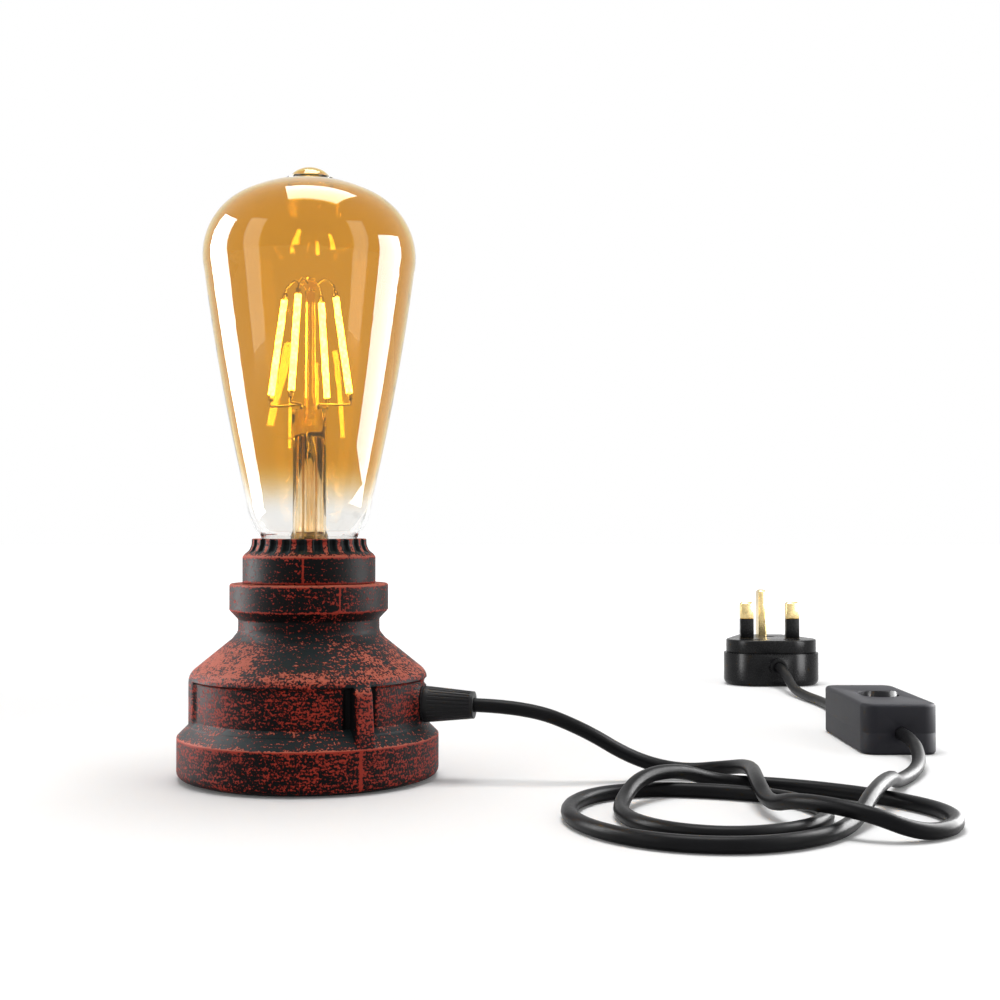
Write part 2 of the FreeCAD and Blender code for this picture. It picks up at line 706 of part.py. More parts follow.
# Bulb: blown glass, stem, filaments with their wires, and the screw cap
def blown(inset):
    """Outline of the glass, drawn in by the wall for its inside."""
    tip_r, tip_z = TIP_R - inset, BULB_TIP_Z - TIP_R
    foot_z = BULB_NECK_Z if inset == 0 else BULB_NECK_Z - 1
    flare_z = CAP_RIM_Z + BULB_RIM_GAP
    middle_r = (BULB_MOUTH_R + BULB_LOWER_R) / 2 + BULB_LOWER_BOW
    middle_z = (BULB_MOUTH_Z + BULB_LOWER_Z) / 2
    return turned(
        (0, foot_z),
        (BULB_NECK_R - inset, foot_z),
        (BULB_NECK_R - inset, flare_z),
        (
            (BULB_MOUTH_R - BULB_FLARE_BOW - inset, (flare_z + BULB_MOUTH_Z) / 2 - BULB_RIM_GAP),
            (BULB_MOUTH_R - inset, BULB_MOUTH_Z),
        ),
        ((middle_r - inset, middle_z), (BULB_LOWER_R - inset, BULB_LOWER_Z)),
        ((BULB_WAIST_R - inset, BULB_WAIST_Z), (BULB_R - inset, BULB_WIDEST_Z)),
        (
            (BULB_R - BULB_CROWN_IN - inset, BULB_CROWN_Z - 0.4 * inset),
            (BULB_SHOULDER_R - inset, BULB_SHOULDER_Z - 0.6 * inset),
        ),
        ((BULB_DOME_R, BULB_DOME_Z - inset), (TIP_R + TIP_SPREAD, BULB_TIP_Z - TIP_H - inset)),
        (tip_r * math.cos(TIP_LOW), tip_z + tip_r * math.sin(TIP_LOW)),
        ((tip_r * math.cos(TIP_HIGH), tip_z + tip_r * math.sin(TIP_HIGH)), (0, tip_z + tip_r)),
    )


keep("bulb_glass", blown(0).cut(blown(GLASS)))
stem_foot = BULB_NECK_Z + 0.6
flare = turned(
    (BULB_NECK_R - GLASS - 0.1, stem_foot), (STEM_R + 1.0, stem_foot + 2.2), (STEM_R, stem_foot + 5),
    (STEM_R, PRESS_Z), (STEM_R - STEM_WALL, PRESS_Z), (STEM_R - STEM_WALL, stem_foot + 5),
    (STEM_R - STEM_WALL + 0.6, stem_foot + 1.6), (BULB_NECK_R - GLASS - 0.9, stem_foot),
)
press = block((2 * STEM_R, PRESS_THICK, PRESS_H + PRESS_LAP), (0, 0), PRESS_Z - PRESS_LAP)
post = cone(GLASS_POST_R, GLASS_POST_R * 0.8, V(0, 0, PRESS_Z + PRESS_H - 1), V(0, 0, POST_TOP_Z))
bead = Part.makeSphere(GLASS_POST_R * POST_BEAD, V(0, 0, POST_TOP_Z))
keep("bulb_stem", fused(flare, press, post, bead))
sticks = []
ends = []
wires = []
for k in range(FILAMENTS):
    angle = FILAMENT_TURN + 360 / FILAMENTS * k
    foot = around(FILAMENT_FOOT_AT, angle, FILAMENT_FOOT_Z)
    head = around(FILAMENT_TOP_AT, angle, FILAMENT_TOP_Z)
    along = (head - foot).normalize()
    sticks.append(rod(FILAMENT_R, foot + along * FILAMENT_END, head - along * FILAMENT_END))
    ends.append(rod(FILAMENT_R * 0.8, foot, foot + along * FILAMENT_END))
    ends.append(rod(FILAMENT_R * 0.8, head - along * FILAMENT_END, head))
    root = around(GLASS_POST_R * POST_BEAD + WIRE_R / 3, angle, POST_TOP_Z)
    arch = around(WIRE_ARCH_AT, angle, POST_TOP_Z + WIRE_ARCH)
    wires.append(tube_along([root, arch, head + along * WIRE_LEAD, head + along * WIRE_GAP], 2 * WIRE_R))
    sides = (math.copysign(WIRE_ROOT_X, foot.x), math.copysign(WIRE_ROOT_Y, foot.y))
    root = V(*sides, PRESS_Z + PRESS_H + WIRE_GAP)
    knee = around(FILAMENT_FOOT_AT - WIRE_KNEE_IN, angle, FILAMENT_FOOT_Z - WIRE_LEAD)
    rise = root + V(0, 0, WIRE_LEAD)
    turn, tip = foot - along * WIRE_LEAD, foot - along * WIRE_GAP
    wires.append(tube_along([root, rise, knee, turn, tip], 2 * WIRE_R))
keep("bulb_filaments", *sticks)
keep("filament_ends", *ends)
keep("bulb_wires", *wires)

# Behind the glow: straight leads and the pumping tube inside the stem, and the driver board in the cap
driver_top = DRIVER_Z + DRIVER_SIZE[2]
press_foot = PRESS_Z - PRESS_LAP
leads = [rod(LEAD_R, V(x, 0, driver_top), V(x, 0, press_foot)) for x in (-LEAD_AT, LEAD_AT)]
keep("stem_leads", *leads)
keep("exhaust_tube", rod(EXHAUST_R, V(0, EXHAUST_OFF, BULB_NECK_Z), V(0, EXHAUST_OFF, press_foot)))
board = block(DRIVER_SIZE, (0, 0), DRIVER_Z)
tin_z = DRIVER_Z + (DRIVER_SIZE[2] - CAPACITOR_H) / 2
tin_at = (-DRIVER_SIZE[0] / 5, DRIVER_SIZE[1] / 2 + CAPACITOR_R - 0.3)
tin = rod(CAPACITOR_R, V(*tin_at, tin_z), V(*tin_at, tin_z + CAPACITOR_H))
chip = block(CHIP_SIZE, (DRIVER_SIZE[0] / 5, -DRIVER_SIZE[1] / 2 - CHIP_OUT), tin_z)
keep("led_driver", fused(board, tin, chip))
cap = turned(
    (CAP_R - CAP_WALL, CAP_THREAD_Z),
    (CAP_R, CAP_THREAD_Z),
    (CAP_R, CAP_SKIRT_Z),
    (CAP_SKIRT_R, CAP_SKIRT_Z + 1.2),
    (CAP_SKIRT_R, CAP_RIM_Z),
    (BULB_NECK_R + 0.4, CAP_RIM_Z),
    (BULB_NECK_R + 0.4, BULB_NECK_Z),
    (CAP_R - CAP_WALL - 0.6, BULB_NECK_Z),
    (CAP_R - CAP_WALL, CAP_SKIRT_Z),
)
keep("bulb_cap", cap)
button_top = BUTTON_Z + BUTTON_H
keep("cap_insulator", turned(
    (0, button_top), (BUTTON_R + 0.8, button_top), (CAP_R - CAP_WALL - 1.0, CAP_THREAD_Z - 0.6),
    (CAP_R - CAP_WALL, CAP_THREAD_Z), (CAP_R - CAP_WALL, CAP_THREAD_Z + 1.5), (0, CAP_THREAD_Z + 1.5),
))
keep("cap_button", turned(
    (0, BUTTON_Z), (BUTTON_R - 0.8, BUTTON_Z), (BUTTON_R, BUTTON_Z + 0.6), (BUTTON_R, button_top),
    (0, button_top),
))

# Gland on the right-hand wall, all along its own axis
out = around(1, GLAND_ANGLE)
gland_axis = V(0, 0, GLAND_Z)
flange_out = gland_seat() + GLAND_FLANGE
gland_tip = flange_out + GLAND_NUT_LENGTH
cord_bore = CORD_D / 2 + CORD_CLEAR
tail_at = gland_seat() - CORD_TAIL_IN


def on_gland(distance):
    return gland_axis + out * distance


body = fused(
    rod(GLAND_THREAD_R, on_gland(locknut_at() - LOCKNUT_THICK - 1), on_gland(gland_seat())),
    rod(GLAND_FLANGE_R, on_gland(gland_seat()), on_gland(flange_out)),
    rod(GLAND_SPIGOT_R, on_gland(flange_out), on_gland(flange_out + GLAND_SPIGOT)),
)
keep("gland_body", body.cut(rod(cord_bore, on_gland(tail_at), on_gland(gland_tip))))
nut = cone(GLAND_NUT_R, GLAND_TIP_R, on_gland(flange_out), on_gland(gland_tip))
grooves = []
for k in range(GLAND_RIBS):
    turn = FreeCAD.Rotation(out, 360 / GLAND_RIBS * k)
    spoke = turn.multVec(UP)
    low = on_gland(flange_out + 1.4) + spoke * GLAND_NUT_R
    high = on_gland(gland_tip - 1.0) + spoke * (GLAND_TIP_R + GLAND_GROOVE_IN)
    grooves.append(rod(GLAND_GROOVE_R, low, high))
nut = nut.cut(grooves)
nut = nut.cut([
    rod(cord_bore, on_gland(tail_at), on_gland(gland_tip + 1)),
    rod(GLAND_SPIGOT_R + CORD_CLEAR, on_gland(tail_at), on_gland(flange_out + GLAND_SPIGOT + 0.2)),
])
keep("gland_nut", nut)
lock = hexagon(LOCKNUT_ACROSS, LOCKNUT_THICK, on_gland(locknut_at() - LOCKNUT_THICK), out)
keep("gland_locknut", lock.cut(rod(GLAND_THREAD_R + SCREW_CLEAR, on_gland(tail_at), on_gland(locknut_at()))))

# Cord inside the base, then its two cores up to the contacts
keep("cord_tail", rod(CORD_D / 2, on_gland(tail_at), on_gland(gland_tip)))
pin_foot = floor - CONTACT_PIN_LENGTH
core_gap = CORE_D / 2 + 0.1
start = on_gland(tail_at)
live = [
    start + V(0, 0, core_gap), start + V(0, 0, core_gap) - out * 5, V(CONTACT_AT + 2.5, -1.5, 29.5),
    V(CONTACT_AT, 0, 35.5), V(CONTACT_AT, 0, pin_foot),
]
neutral = [
    start - V(0, 0, core_gap), start - V(0, 0, core_gap) - out * 5, V(10, -13.0, 22.5),
    V(-3, -15.5, 23.0), V(-CONTACT_AT - 1, -9.0, 26.0), V(-CONTACT_AT, -1.5, 31.5),
    V(-CONTACT_AT, 0, 36.5), V(-CONTACT_AT, 0, pin_foot),
]
keep("live_wire", tube_along(live, CORE_D))
keep("neutral_wire", tube_along(neutral, CORE_D))

# Cord from the gland to the switch: it drops to the table, coils loosely and crosses itself on low humps
LIE = CORD_D / 2
OVER = 7.4
lead = [
    (66.5, -11.7, 22.3), (83, -12.4, 16.0), (98, -9.5, 6.6), (112.5, -7.5, 2.6), (125.5, -13, 4.6),
    (130.5, -27, OVER), (128, -51, OVER), (128.5, -66, 3.6), (133, -80, OVER), (146, -95, OVER),
    (160, -96.5, LIE), (172, -86, LIE), (175, -69, LIE), (167, -52, LIE), (153, -37, LIE), (136, -27, LIE),
    (121, -25.5, 2.6), (109, -32, OVER - 0.3), (97, -43, OVER - 0.3), (90, -58, LIE), (90, -76, LIE),
    (98, -91, LIE), (113, -98, LIE), (129, -93, LIE), (141, -80, LIE), (143.5, -62, LIE), (135, -46, LIE),
    (119, -38, LIE), (101, -34.5, LIE), (85, -42, LIE), (76.5, -58, LIE), (76, -77, LIE), (84, -95, LIE),
    (99, -107, LIE), (118, -109, LIE), (135, -100, LIE), (147, -83, LIE), (156, -65, OVER - 0.3),
    (166.5, -43, OVER - 0.3), (173, -24, LIE), (183, -7, LIE), (190, 11, 3.2),
    (SWITCH_AT[0], 26, SWITCH_CORD_Z),
]
switch_near = V(SWITCH_AT[0], SWITCH_AT[1] - SWITCH_LENGTH / 2, SWITCH_CORD_Z)
switch_far = V(SWITCH_AT[0], SWITCH_AT[1] + SWITCH_LENGTH / 2, SWITCH_CORD_Z)
keep("cord_lead", tube_along([on_gland(gland_tip)] + [V(*p) for p in lead] + [switch_near], CORD_D))

# Cord from the switch to the plug, nearly straight
flex = [
    (192.2, 115, SWITCH_CORD_Z), (193, 131, 3.2), (195, 150, LIE), (195, 172, LIE), (192.5, 194, LIE),
    (190.5, 213, 3.2), (PLUG_AT[0], 230, PLUG_CORD_Z - 0.6),
]
plug_neck = V(PLUG_AT[0], PLUG_AT[1], PLUG_CORD_Z)
keep("cord_flex", tube_along([switch_far] + [V(*p) for p in flex] + [plug_neck], CORD_D))


# Inline switch, built about its own centre and then set down on the table
def at_switch(shape):
    return moved(shape, SWITCH_AT[0], SWITCH_AT[1])


def rounded_slab(half_x, half_y, corner, z, height):
    """Slab with rounded upright corners."""
    k = corner * (1 - math.sqrt(0.5))
    x, y, c = half_x, half_y, corner
    return plate(
        (-x + c, -y), (x - c, -y), ((x - k, -y + k), (x, -y + c)), (x, y - c), ((x - k, y - k), (x - c, y)),
        (-x + c, y), ((-x + k, y - k), (-x, y - c)), (-x, -y + c), ((-x + k, -y + k), (-x + c, -y)),
        z=z, height=height,
    )


def rim(solid, z):
    """Edges of a solid that lie flat at one height on its outer outline."""
    found = []
    for edge in solid.Edges:
        if all(abs(v.Point.z - z) < 1e-6 for v in edge.Vertexes):
            found.append(edge)
    return found


half_x, half_y = SWITCH_WIDTH / 2, SWITCH_LENGTH / 2
inner_x, inner_y = half_x - SWITCH_WALL, half_y - SWITCH_WALL
inner_corner = SWITCH_CORNER - SWITCH_WALL
lower = rounded_slab(half_x, half_y, SWITCH_CORNER, 0, SWITCH_CORD_Z)
lower = lower.makeFillet(SWITCH_EDGE, rim(lower, 0))
lower = lower.cut(rounded_slab(inner_x, inner_y, inner_corner, SWITCH_WALL, SWITCH_HEIGHT))
upper = rounded_slab(half_x, half_y, SWITCH_CORNER, SWITCH_CORD_Z, SWITCH_HEIGHT - SWITCH_CORD_Z)
upper = upper.makeFillet(SWITCH_EDGE, rim(upper, SWITCH_HEIGHT))
roof = SWITCH_HEIGHT - SWITCH_WALL
upper = upper.cut(rounded_slab(inner_x, inner_y, inner_corner, 0, roof))
cord_way = rod(cord_bore, V(0, -half_y - 1, SWITCH_CORD_Z), V(0, half_y + 1, SWITCH_CORD_Z))
post_x, post_y = inner_x - POST_R + POST_IN_WALL, inner_y - SWITCH_POST_IN
post_at = [(post_x, -post_y), (-post_x, post_y)]
switch_screws = []
for x, y in post_at:
    foot, head = V(x, y, 0), V(x, y, SWITCH_WALL + 1.2)
    lower = lower.fuse(rod(POST_R, V(x, y, SWITCH_WALL), V(x, y, SWITCH_CORD_Z)))
    upper = upper.fuse(rod(POST_R, V(x, y, SWITCH_CORD_Z), V(x, y, roof)))
    way = rod(SCREW_R + SCREW_CLEAR, foot, V(x, y, SWITCH_CORD_Z))
    lower = lower.cut([rod(SCREW_HEAD_R - 0.3, foot, head), way])
    upper = upper.cut(rod(SCREW_R + SCREW_CLEAR, V(x, y, SWITCH_CORD_Z), V(x, y, roof - 2)))
    shank = rod(SCREW_R, head - V(0, 0, 0.1), V(x, y, roof - 2.4))
    switch_screws.append(fused(rod(SCREW_HEAD_R - 0.4, head - V(0, 0, SCREW_HEAD_H), head), shank))
lug_gap = ROCKER_WIDTH / 2 + 0.3
lug_thick = TRUNNION_LENGTH + 0.4
pivot = V(0, 0, ROCKER_PIVOT_Z)
lug_z = ROCKER_PIVOT_Z - LUG_DROP
for side in (-1, 1):
    lug = block((lug_thick, LUG_WIDTH, roof - lug_z), (side * (lug_gap + lug_thick / 2), 0), lug_z)
    upper = upper.fuse(lug)
lug_end = X_AXIS * (lug_gap + lug_thick)
bearing = rod(TRUNNION_R + TRUNNION_CLEAR, pivot - lug_end, pivot + lug_end)
upper = upper.cut([bearing, slot_bar(*ROCKER_APERTURE, SWITCH_WALL + 2, roof - 1), cord_way])
stop_z = SEESAW_Z - (SEESAW_LENGTH / 2 - 1) * math.sin(math.radians(SEESAW_TILT)) - 0.35
contact_at = SEESAW_LENGTH / 2 - 1.0
stop = block((*SEESAW_STOP, stop_z - SWITCH_WALL), (0, contact_at), SWITCH_WALL)
lower = lower.fuse(stop).cut(cord_way)
keep("switch_base", at_switch(lower.removeSplitter()))
keep("switch_cover", at_switch(upper.removeSplitter()))
keep("switch_screws", *[at_switch(s) for s in switch_screws])
stubs = []
for side in (-1, 1):
    inner = V(0, side * (half_y - CORD_STUB), SWITCH_CORD_Z)
    stubs.append(at_switch(rod(CORD_D / 2, V(0, side * half_y, SWITCH_CORD_Z), inner)))
keep("switch_cord_ends", *stubs)

# Rocker, its trunnions and plunger, tilted to the photographed position with the plug's side down
top = slot_bar(ROCKER_WIDTH, ROCKER_LENGTH, ROCKER_TOP + ROCKER_DEPTH, ROCKER_PIVOT_Z - ROCKER_DEPTH)
drum = rod(ROCKER_SWING, pivot - X_AXIS * ROCKER_WIDTH, pivot + X_AXIS * ROCKER_WIDTH)
dish_z = ROCKER_PIVOT_Z + ROCKER_TOP + ROCKER_DISH_R - ROCKER_DISH
dish = rod(ROCKER_DISH_R, V(-ROCKER_WIDTH, 0, dish_z), V(ROCKER_WIDTH, 0, dish_z))
rocker = top.common(drum).cut(dish)
stem_foot = ROCKER_PIVOT_Z - PLUNGER_REACH + PLUNGER_BARE
trunnion_end = X_AXIS * (lug_gap + TRUNNION_LENGTH)
rocker = rocker.fuse([
    rod(PLUNGER_R + 1.0, V(0, 0, stem_foot), pivot),
    rod(TRUNNION_R, pivot - trunnion_end, pivot + trunnion_end),
])
spring_seat = ROCKER_PIVOT_Z + SPRING_SEAT_UP
rocker = rocker.cut(rod(PLUNGER_R + CORD_CLEAR, V(0, 0, stem_foot - 1), V(0, 0, spring_seat)))
rocker = rocker.removeSplitter()
plunger_tip = V(0, 0, ROCKER_PIVOT_Z - PLUNGER_REACH)
nose = plunger_tip + V(0, 0, PLUNGER_R)
plunger = fused(Part.makeSphere(PLUNGER_R, nose), rod(PLUNGER_R, nose, V(0, 0, stem_foot + 2.0)))
spring_foot = stem_foot + 2.0


def coil(radius, wire, low, high, turns):
    """Round-wire spring between two heights, its wire's outside inside both."""
    height = high - low - wire
    helix = Part.makeHelix(height / turns, height, radius)
    ring = Part.Wire(Part.Circle(V(radius, 0, 0), Y_AXIS, wire / 2).toShape())
    spring = Part.Wire(helix.Edges).makePipeShell([ring], True, True)
    return moved(spring, 0, 0, low + wire / 2)


spring = coil(PLUNGER_R - SPRING_WIRE, SPRING_WIRE, spring_foot, spring_seat, SPRING_TURNS)


def tilted(shape, centre, degrees):
    copy = shape.copy()
    copy.rotate(centre, X_AXIS, degrees)
    return at_switch(copy)


keep("switch_rocker", tilted(rocker, pivot, -ROCKER_TILT))
keep("rocker_plunger", tilted(plunger, pivot, -ROCKER_TILT))
keep("plunger_spring", tilted(spring, pivot, -ROCKER_TILT))

# Contact strip that the plunger tips over, its carrier and the fixed contact
strip_low = SEESAW_Z + 0.4
strip = block((SEESAW_WIDTH, SEESAW_LENGTH, SEESAW_THICK), (0, 0), strip_low)
knife = rod(SEESAW_PIVOT_R, V(-SEESAW_WIDTH / 2, 0, SEESAW_Z), V(SEESAW_WIDTH / 2, 0, SEESAW_Z))
rivet_foot = SEESAW_Z - 0.2
rivets = []
for y in (-contact_at, contact_at):
    rivets.append(rod(RIVET_R, V(0, y, rivet_foot), V(0, y, strip_low)))
seesaw = fused(strip, knife, *rivets)
keep("seesaw_contact", tilted(seesaw, V(0, 0, SEESAW_Z), SEESAW_TILT))
carrier = fused(
    block((*COMMON_FOOT, SEESAW_Z - SWITCH_WALL), (0, 0), SWITCH_WALL),
    block((*COMMON_STRIP, STRIP), COMMON_STRIP_AT, SWITCH_WALL),
)
groove = rod(SEESAW_PIVOT_R + SCREW_CLEAR, V(-4, 0, SEESAW_Z), V(4, 0, SEESAW_Z))
keep("common_contact", at_switch(carrier.cut(groove)))
fixed_top = SEESAW_Z - contact_at * math.sin(math.radians(SEESAW_TILT)) - 0.2 - 0.15
fixed = fused(
    rod(FIXED_PIN_R, V(0, -contact_at, SWITCH_WALL), V(0, -contact_at, fixed_top)),
    block((*FIXED_STRIP, STRIP), (0, -contact_at - FIXED_STRIP_OUT), SWITCH_WALL),
)
keep("fixed_contact", at_switch(fixed))

# Cores, their clamps, and the link that carries the neutral straight through
core_z = SWITCH_WALL + STRIP + TERMINAL[2] / 2
terminal_at = {
    "live_in": (0, -contact_at - LIVE_IN_OUT), "live_out": LIVE_OUT_AT,
    "neutral_in": NEUTRAL_IN_AT, "neutral_out": NEUTRAL_OUT_AT,
}
terminals = []
terminal_screws = []
for x, y in terminal_at.values():
    clamp = block(TERMINAL, (x, y), SWITCH_WALL + STRIP)
    way = rod(CORE_D / 2 + CORD_CLEAR, V(x, y - 5, core_z), V(x, y + 5, core_z))
    top = V(x, y, SWITCH_WALL + STRIP + TERMINAL[2])
    seat_z = core_z + CORE_D / 2 + CORD_CLEAR
    clamp = clamp.cut([way, rod(TERMINAL_SCREW_R + SCREW_CLEAR, V(x, y, seat_z - 0.2), top)])
    terminals.append(at_switch(clamp))
    grub = rod(TERMINAL_SCREW_R, V(x, y, seat_z), top + V(0, 0, TERMINAL_SCREW_OUT))
    slot = block((GRUB_SLOT, 2 * TERMINAL_SCREW_R, 0.6), (x, y), top.z + TERMINAL_SCREW_OUT - GRUB_SLOT)
    terminal_screws.append(at_switch(grub.cut(slot)))
in_x, in_y = terminal_at["neutral_in"]
out_x, out_y = terminal_at["neutral_out"]
link_width = TERMINAL[0] - 1.6
link = fused(
    block((link_width, out_y - in_y + link_width, STRIP), (in_x, (in_y + out_y) / 2), SWITCH_WALL),
    block((out_x - in_x + link_width, link_width, STRIP), ((in_x + out_x) / 2, out_y), SWITCH_WALL),
)
keep("through_link", at_switch(link))
stub_end = half_y - CORD_STUB
split = CORE_D / 2 + 0.05


def switch_core(side, at, offset, through):
    """Core from the cord's cut end down into its terminal."""
    start = V(offset, side * (stub_end - CORE_START), SWITCH_CORD_Z)
    mouth = V(at[0], at[1] + side * (TERMINAL[1] / 2 + 2.2), core_z)
    tip = V(at[0], at[1], core_z)
    return at_switch(tube_along([start, V(*through, SWITCH_CORD_Z - 1.2), mouth, tip], CORE_D))


live_cores = [
    switch_core(-1, terminal_at["live_in"], split, (split, 2.6 - stub_end)),
    switch_core(1, terminal_at["live_out"], split, (split + 0.6, stub_end - 2.4)),
]
neutral_cores = [
    switch_core(-1, terminal_at["neutral_in"], -split, (-split - 1.6, 2.2 - stub_end)),
    switch_core(1, terminal_at["neutral_out"], -split, (-split - 0.5, stub_end - 2.6)),
]


# Three-pin plug lying on its back, built from its neck's end along +Y
def at_plug(shape):
    return moved(shape, PLUG_AT[0], PLUG_AT[1])


def plug_outline(inset, z, height):
    """Plan of the plug: two round lobes at the neck and two smaller corners, joined by tangents."""
    lobe, corner = PLUG_LOBE_R - inset, PLUG_CORNER_R - inset
    lobe_x, lobe_y = PLUG_HALF_WIDTH - PLUG_LOBE_R, PLUG_NECK + PLUG_LOBE_R
    corner_x, corner_y = PLUG_TOP_HALF - PLUG_CORNER_R, PLUG_LENGTH - PLUG_CORNER_R
    run = math.hypot(corner_x - lobe_x, corner_y - lobe_y)
    lean = math.asin((PLUG_LOBE_R - PLUG_CORNER_R) / run)
    lean += math.atan2(lobe_x - corner_x, corner_y - lobe_y)

    def on(side, x, y, radius, angle):
        return (side * (x + radius * math.cos(angle)), y + radius * math.sin(angle))

    low, quarter, high = (lean - math.pi / 2) / 2, -math.pi / 2, (lean + math.pi / 2) / 2
    return plate(
        on(-1, lobe_x, lobe_y, lobe, quarter),
        on(1, lobe_x, lobe_y, lobe, quarter),
        (on(1, lobe_x, lobe_y, lobe, low), on(1, lobe_x, lobe_y, lobe, lean)),
        on(1, corner_x, corner_y, corner, lean),
        (on(1, corner_x, corner_y, corner, high), on(1, corner_x, corner_y, corner, -quarter)),
        on(-1, corner_x, corner_y, corner, -quarter),
        (on(-1, corner_x, corner_y, corner, high), on(-1, corner_x, corner_y, corner, lean)),
        on(-1, lobe_x, lobe_y, lobe, lean),
        (on(-1, lobe_x, lobe_y, lobe, low), on(-1, lobe_x, lobe_y, lobe, quarter)),
        z=z, height=height,
    )


cover = plug_outline(0, 0, PLUG_SPLIT_Z)
cover = cover.makeFillet(PLUG_BACK_ROUND, rim(cover, 0))
cover = cover.fuse(rod(PLUG_NECK_R, V(0, 0, PLUG_CORD_Z), V(0, PLUG_NECK + 3, PLUG_CORD_Z)))
cover = cover.cut(plug_outline(PLUG_WALL, PLUG_WALL, PLUG_DEPTH))
cover = cover.cut(rod(cord_bore, V(0, -1, PLUG_CORD_Z), V(0, PLUG_NECK + 6, PLUG_CORD_Z)))
base = plug_outline(PLUG_BASE_INSET, PLUG_SPLIT_Z, PLUG_DEPTH - PLUG_SPLIT_Z)
base = base.makeFillet(0.8, rim(base, PLUG_DEPTH))
plug_screws = []
for (x, y), smaller in zip(PLUG_SCREW_AT, PLUG_SCREW_SMALLER):
    head_r = SCREW_HEAD_R - smaller
    face, seat = V(x, y, PLUG_DEPTH), V(x, y, PLUG_DEPTH - PLUG_SCREW_SUNK)
    tip = V(x, y, PLUG_SPLIT_Z - 6.0)
    cover = cover.fuse(rod(POST_R, V(x, y, PLUG_WALL), V(x, y, PLUG_SPLIT_Z)))
    cover = cover.cut(rod(SCREW_R + SCREW_CLEAR, tip - V(0, 0, 0.5), V(x, y, PLUG_SPLIT_Z)))
    way = rod(SCREW_R + SCREW_CLEAR, V(x, y, PLUG_SPLIT_Z), seat)
    base = base.cut([rod(head_r + 0.15, seat, face), way])
    head = rod(head_r, seat, seat + V(0, 0, PLUG_SCREW_H))
    slot = 2 * head_r - 1.2
    cross = []
    for size in ((CROSS_WIDTH, slot, CROSS_DEPTH), (slot, CROSS_WIDTH, CROSS_DEPTH)):
        cross.append(block(size, (x, y), seat.z + 1.2))
    plug_screws.append(at_plug(fused(head, rod(SCREW_R, tip, seat + V(0, 0, 0.1))).cut(cross)))


def grown(size, more):
    return (size[0] + more, size[1] + more)


def pin(size, length, at, inset, sleeve):
    """Rectangular pin with a bevelled tip, waisted under its sleeve."""
    root = PLUG_SPLIT_Z - PIN_ROOT
    end = PLUG_DEPTH + length
    bar = block((size[0], size[1], end - root), at, root)
    bar = bar.makeChamfer(PIN_BEVEL, rim(bar, end))
    if sleeve:
        slim = block((*grown(size, -2 * inset), sleeve), at, PLUG_DEPTH)
        ring = block((*grown(size, 1), sleeve), at, PLUG_DEPTH).cut(slim)
        bar = bar.cut(ring)
    return bar


line_size = (LINE_PIN[0], PIN_THICK)
earth_size = (PIN_THICK, EARTH_PIN[0])
pins = {"live_pin": (-PIN_SPACING / 2, PIN_LINE), "neutral_pin": (PIN_SPACING / 2, PIN_LINE)}
sleeves = []
for name, at in pins.items():
    keep(name, at_plug(pin(line_size, LINE_PIN[1], at, SLEEVE_WALL, SLEEVE_LENGTH)))
    outer = block((*line_size, SLEEVE_LENGTH), at, PLUG_DEPTH)
    core = block((*grown(line_size, -2 * SLEEVE_WALL), SLEEVE_LENGTH), at, PLUG_DEPTH)
    sleeves.append(at_plug(outer.cut(core)))
    base = base.cut(block((*grown(line_size, PIN_SLACK), PLUG_DEPTH), at, PLUG_SPLIT_Z))
earth_at = (0, PIN_LINE + PIN_SPACING)
root_way = PIN_ROOT + 0.3
cover = cover.cut(block((*grown(earth_size, 0.6), root_way), earth_at, PLUG_SPLIT_Z - root_way))
base = base.cut(block((*grown(earth_size, PIN_SLACK), PLUG_DEPTH), earth_at, PLUG_SPLIT_Z))
keep("earth_pin", at_plug(pin(earth_size, EARTH_PIN[1], earth_at, 0, 0)))
keep("pin_sleeves", *sleeves)
keep("plug_base", at_plug(base.removeSplitter()))
keep("plug_cover", at_plug(cover.removeSplitter()))
keep("plug_screws", *plug_screws)
neck_end = PLUG_NECK + PLUG_STUB
keep("plug_cord_end", at_plug(rod(CORD_D / 2, V(0, 0, PLUG_CORD_Z), V(0, neck_end, PLUG_CORD_Z))))

# Inside the plug: fuse in its clips beside the live pin, the neutral's terminal, cord clamp and cores
fuse_z = PLUG_SPLIT_Z - FUSE_DROP - FUSE_R
fuse_foot = V(FUSE_X, FUSE_Y, fuse_z)
keep("plug_fuse", at_plug(rod(FUSE_R, fuse_foot, fuse_foot + Y_AXIS * FUSE_LENGTH)))
clips = []
for y in (FUSE_Y + 1.0, FUSE_Y + FUSE_LENGTH - 1.0 - CLIP_WIDTH):
    low, high = V(FUSE_X, y, fuse_z), V(FUSE_X, y + CLIP_WIDTH, fuse_z)
    middle = (FUSE_X, y + CLIP_WIDTH / 2)
    ring = rod(FUSE_R + CLIP_SHEET, low, high).cut(rod(FUSE_R, low, high))
    ring = ring.cut(block((FUSE_R, CLIP_WIDTH + 2, FUSE_R + 2), middle, fuse_z - FUSE_R - 2))
    stand = block((2.4, CLIP_WIDTH, FUSE_DROP), middle, PLUG_SPLIT_Z - FUSE_DROP)
    clips.append(at_plug(ring.fuse(stand).cut(rod(FUSE_R, low, high)).removeSplitter()))
keep("fuse_clips", *clips)
post_z = PLUG_SPLIT_Z - PIN_ROOT
clamp_at = (0, neck_end - CORD_CLAMP[1] / 2 - 0.5)
keep("cord_clamp", at_plug(block(CORD_CLAMP, clamp_at, PLUG_CORD_Z + CORD_D / 2)))
plug_terminal_at = {
    "live": (LIVE_TERMINAL_X, LIVE_TERMINAL_Y, fuse_z),
    "neutral": (PIN_SPACING / 2, PIN_LINE, post_z - PLUG_TERMINAL[2] / 2),
}
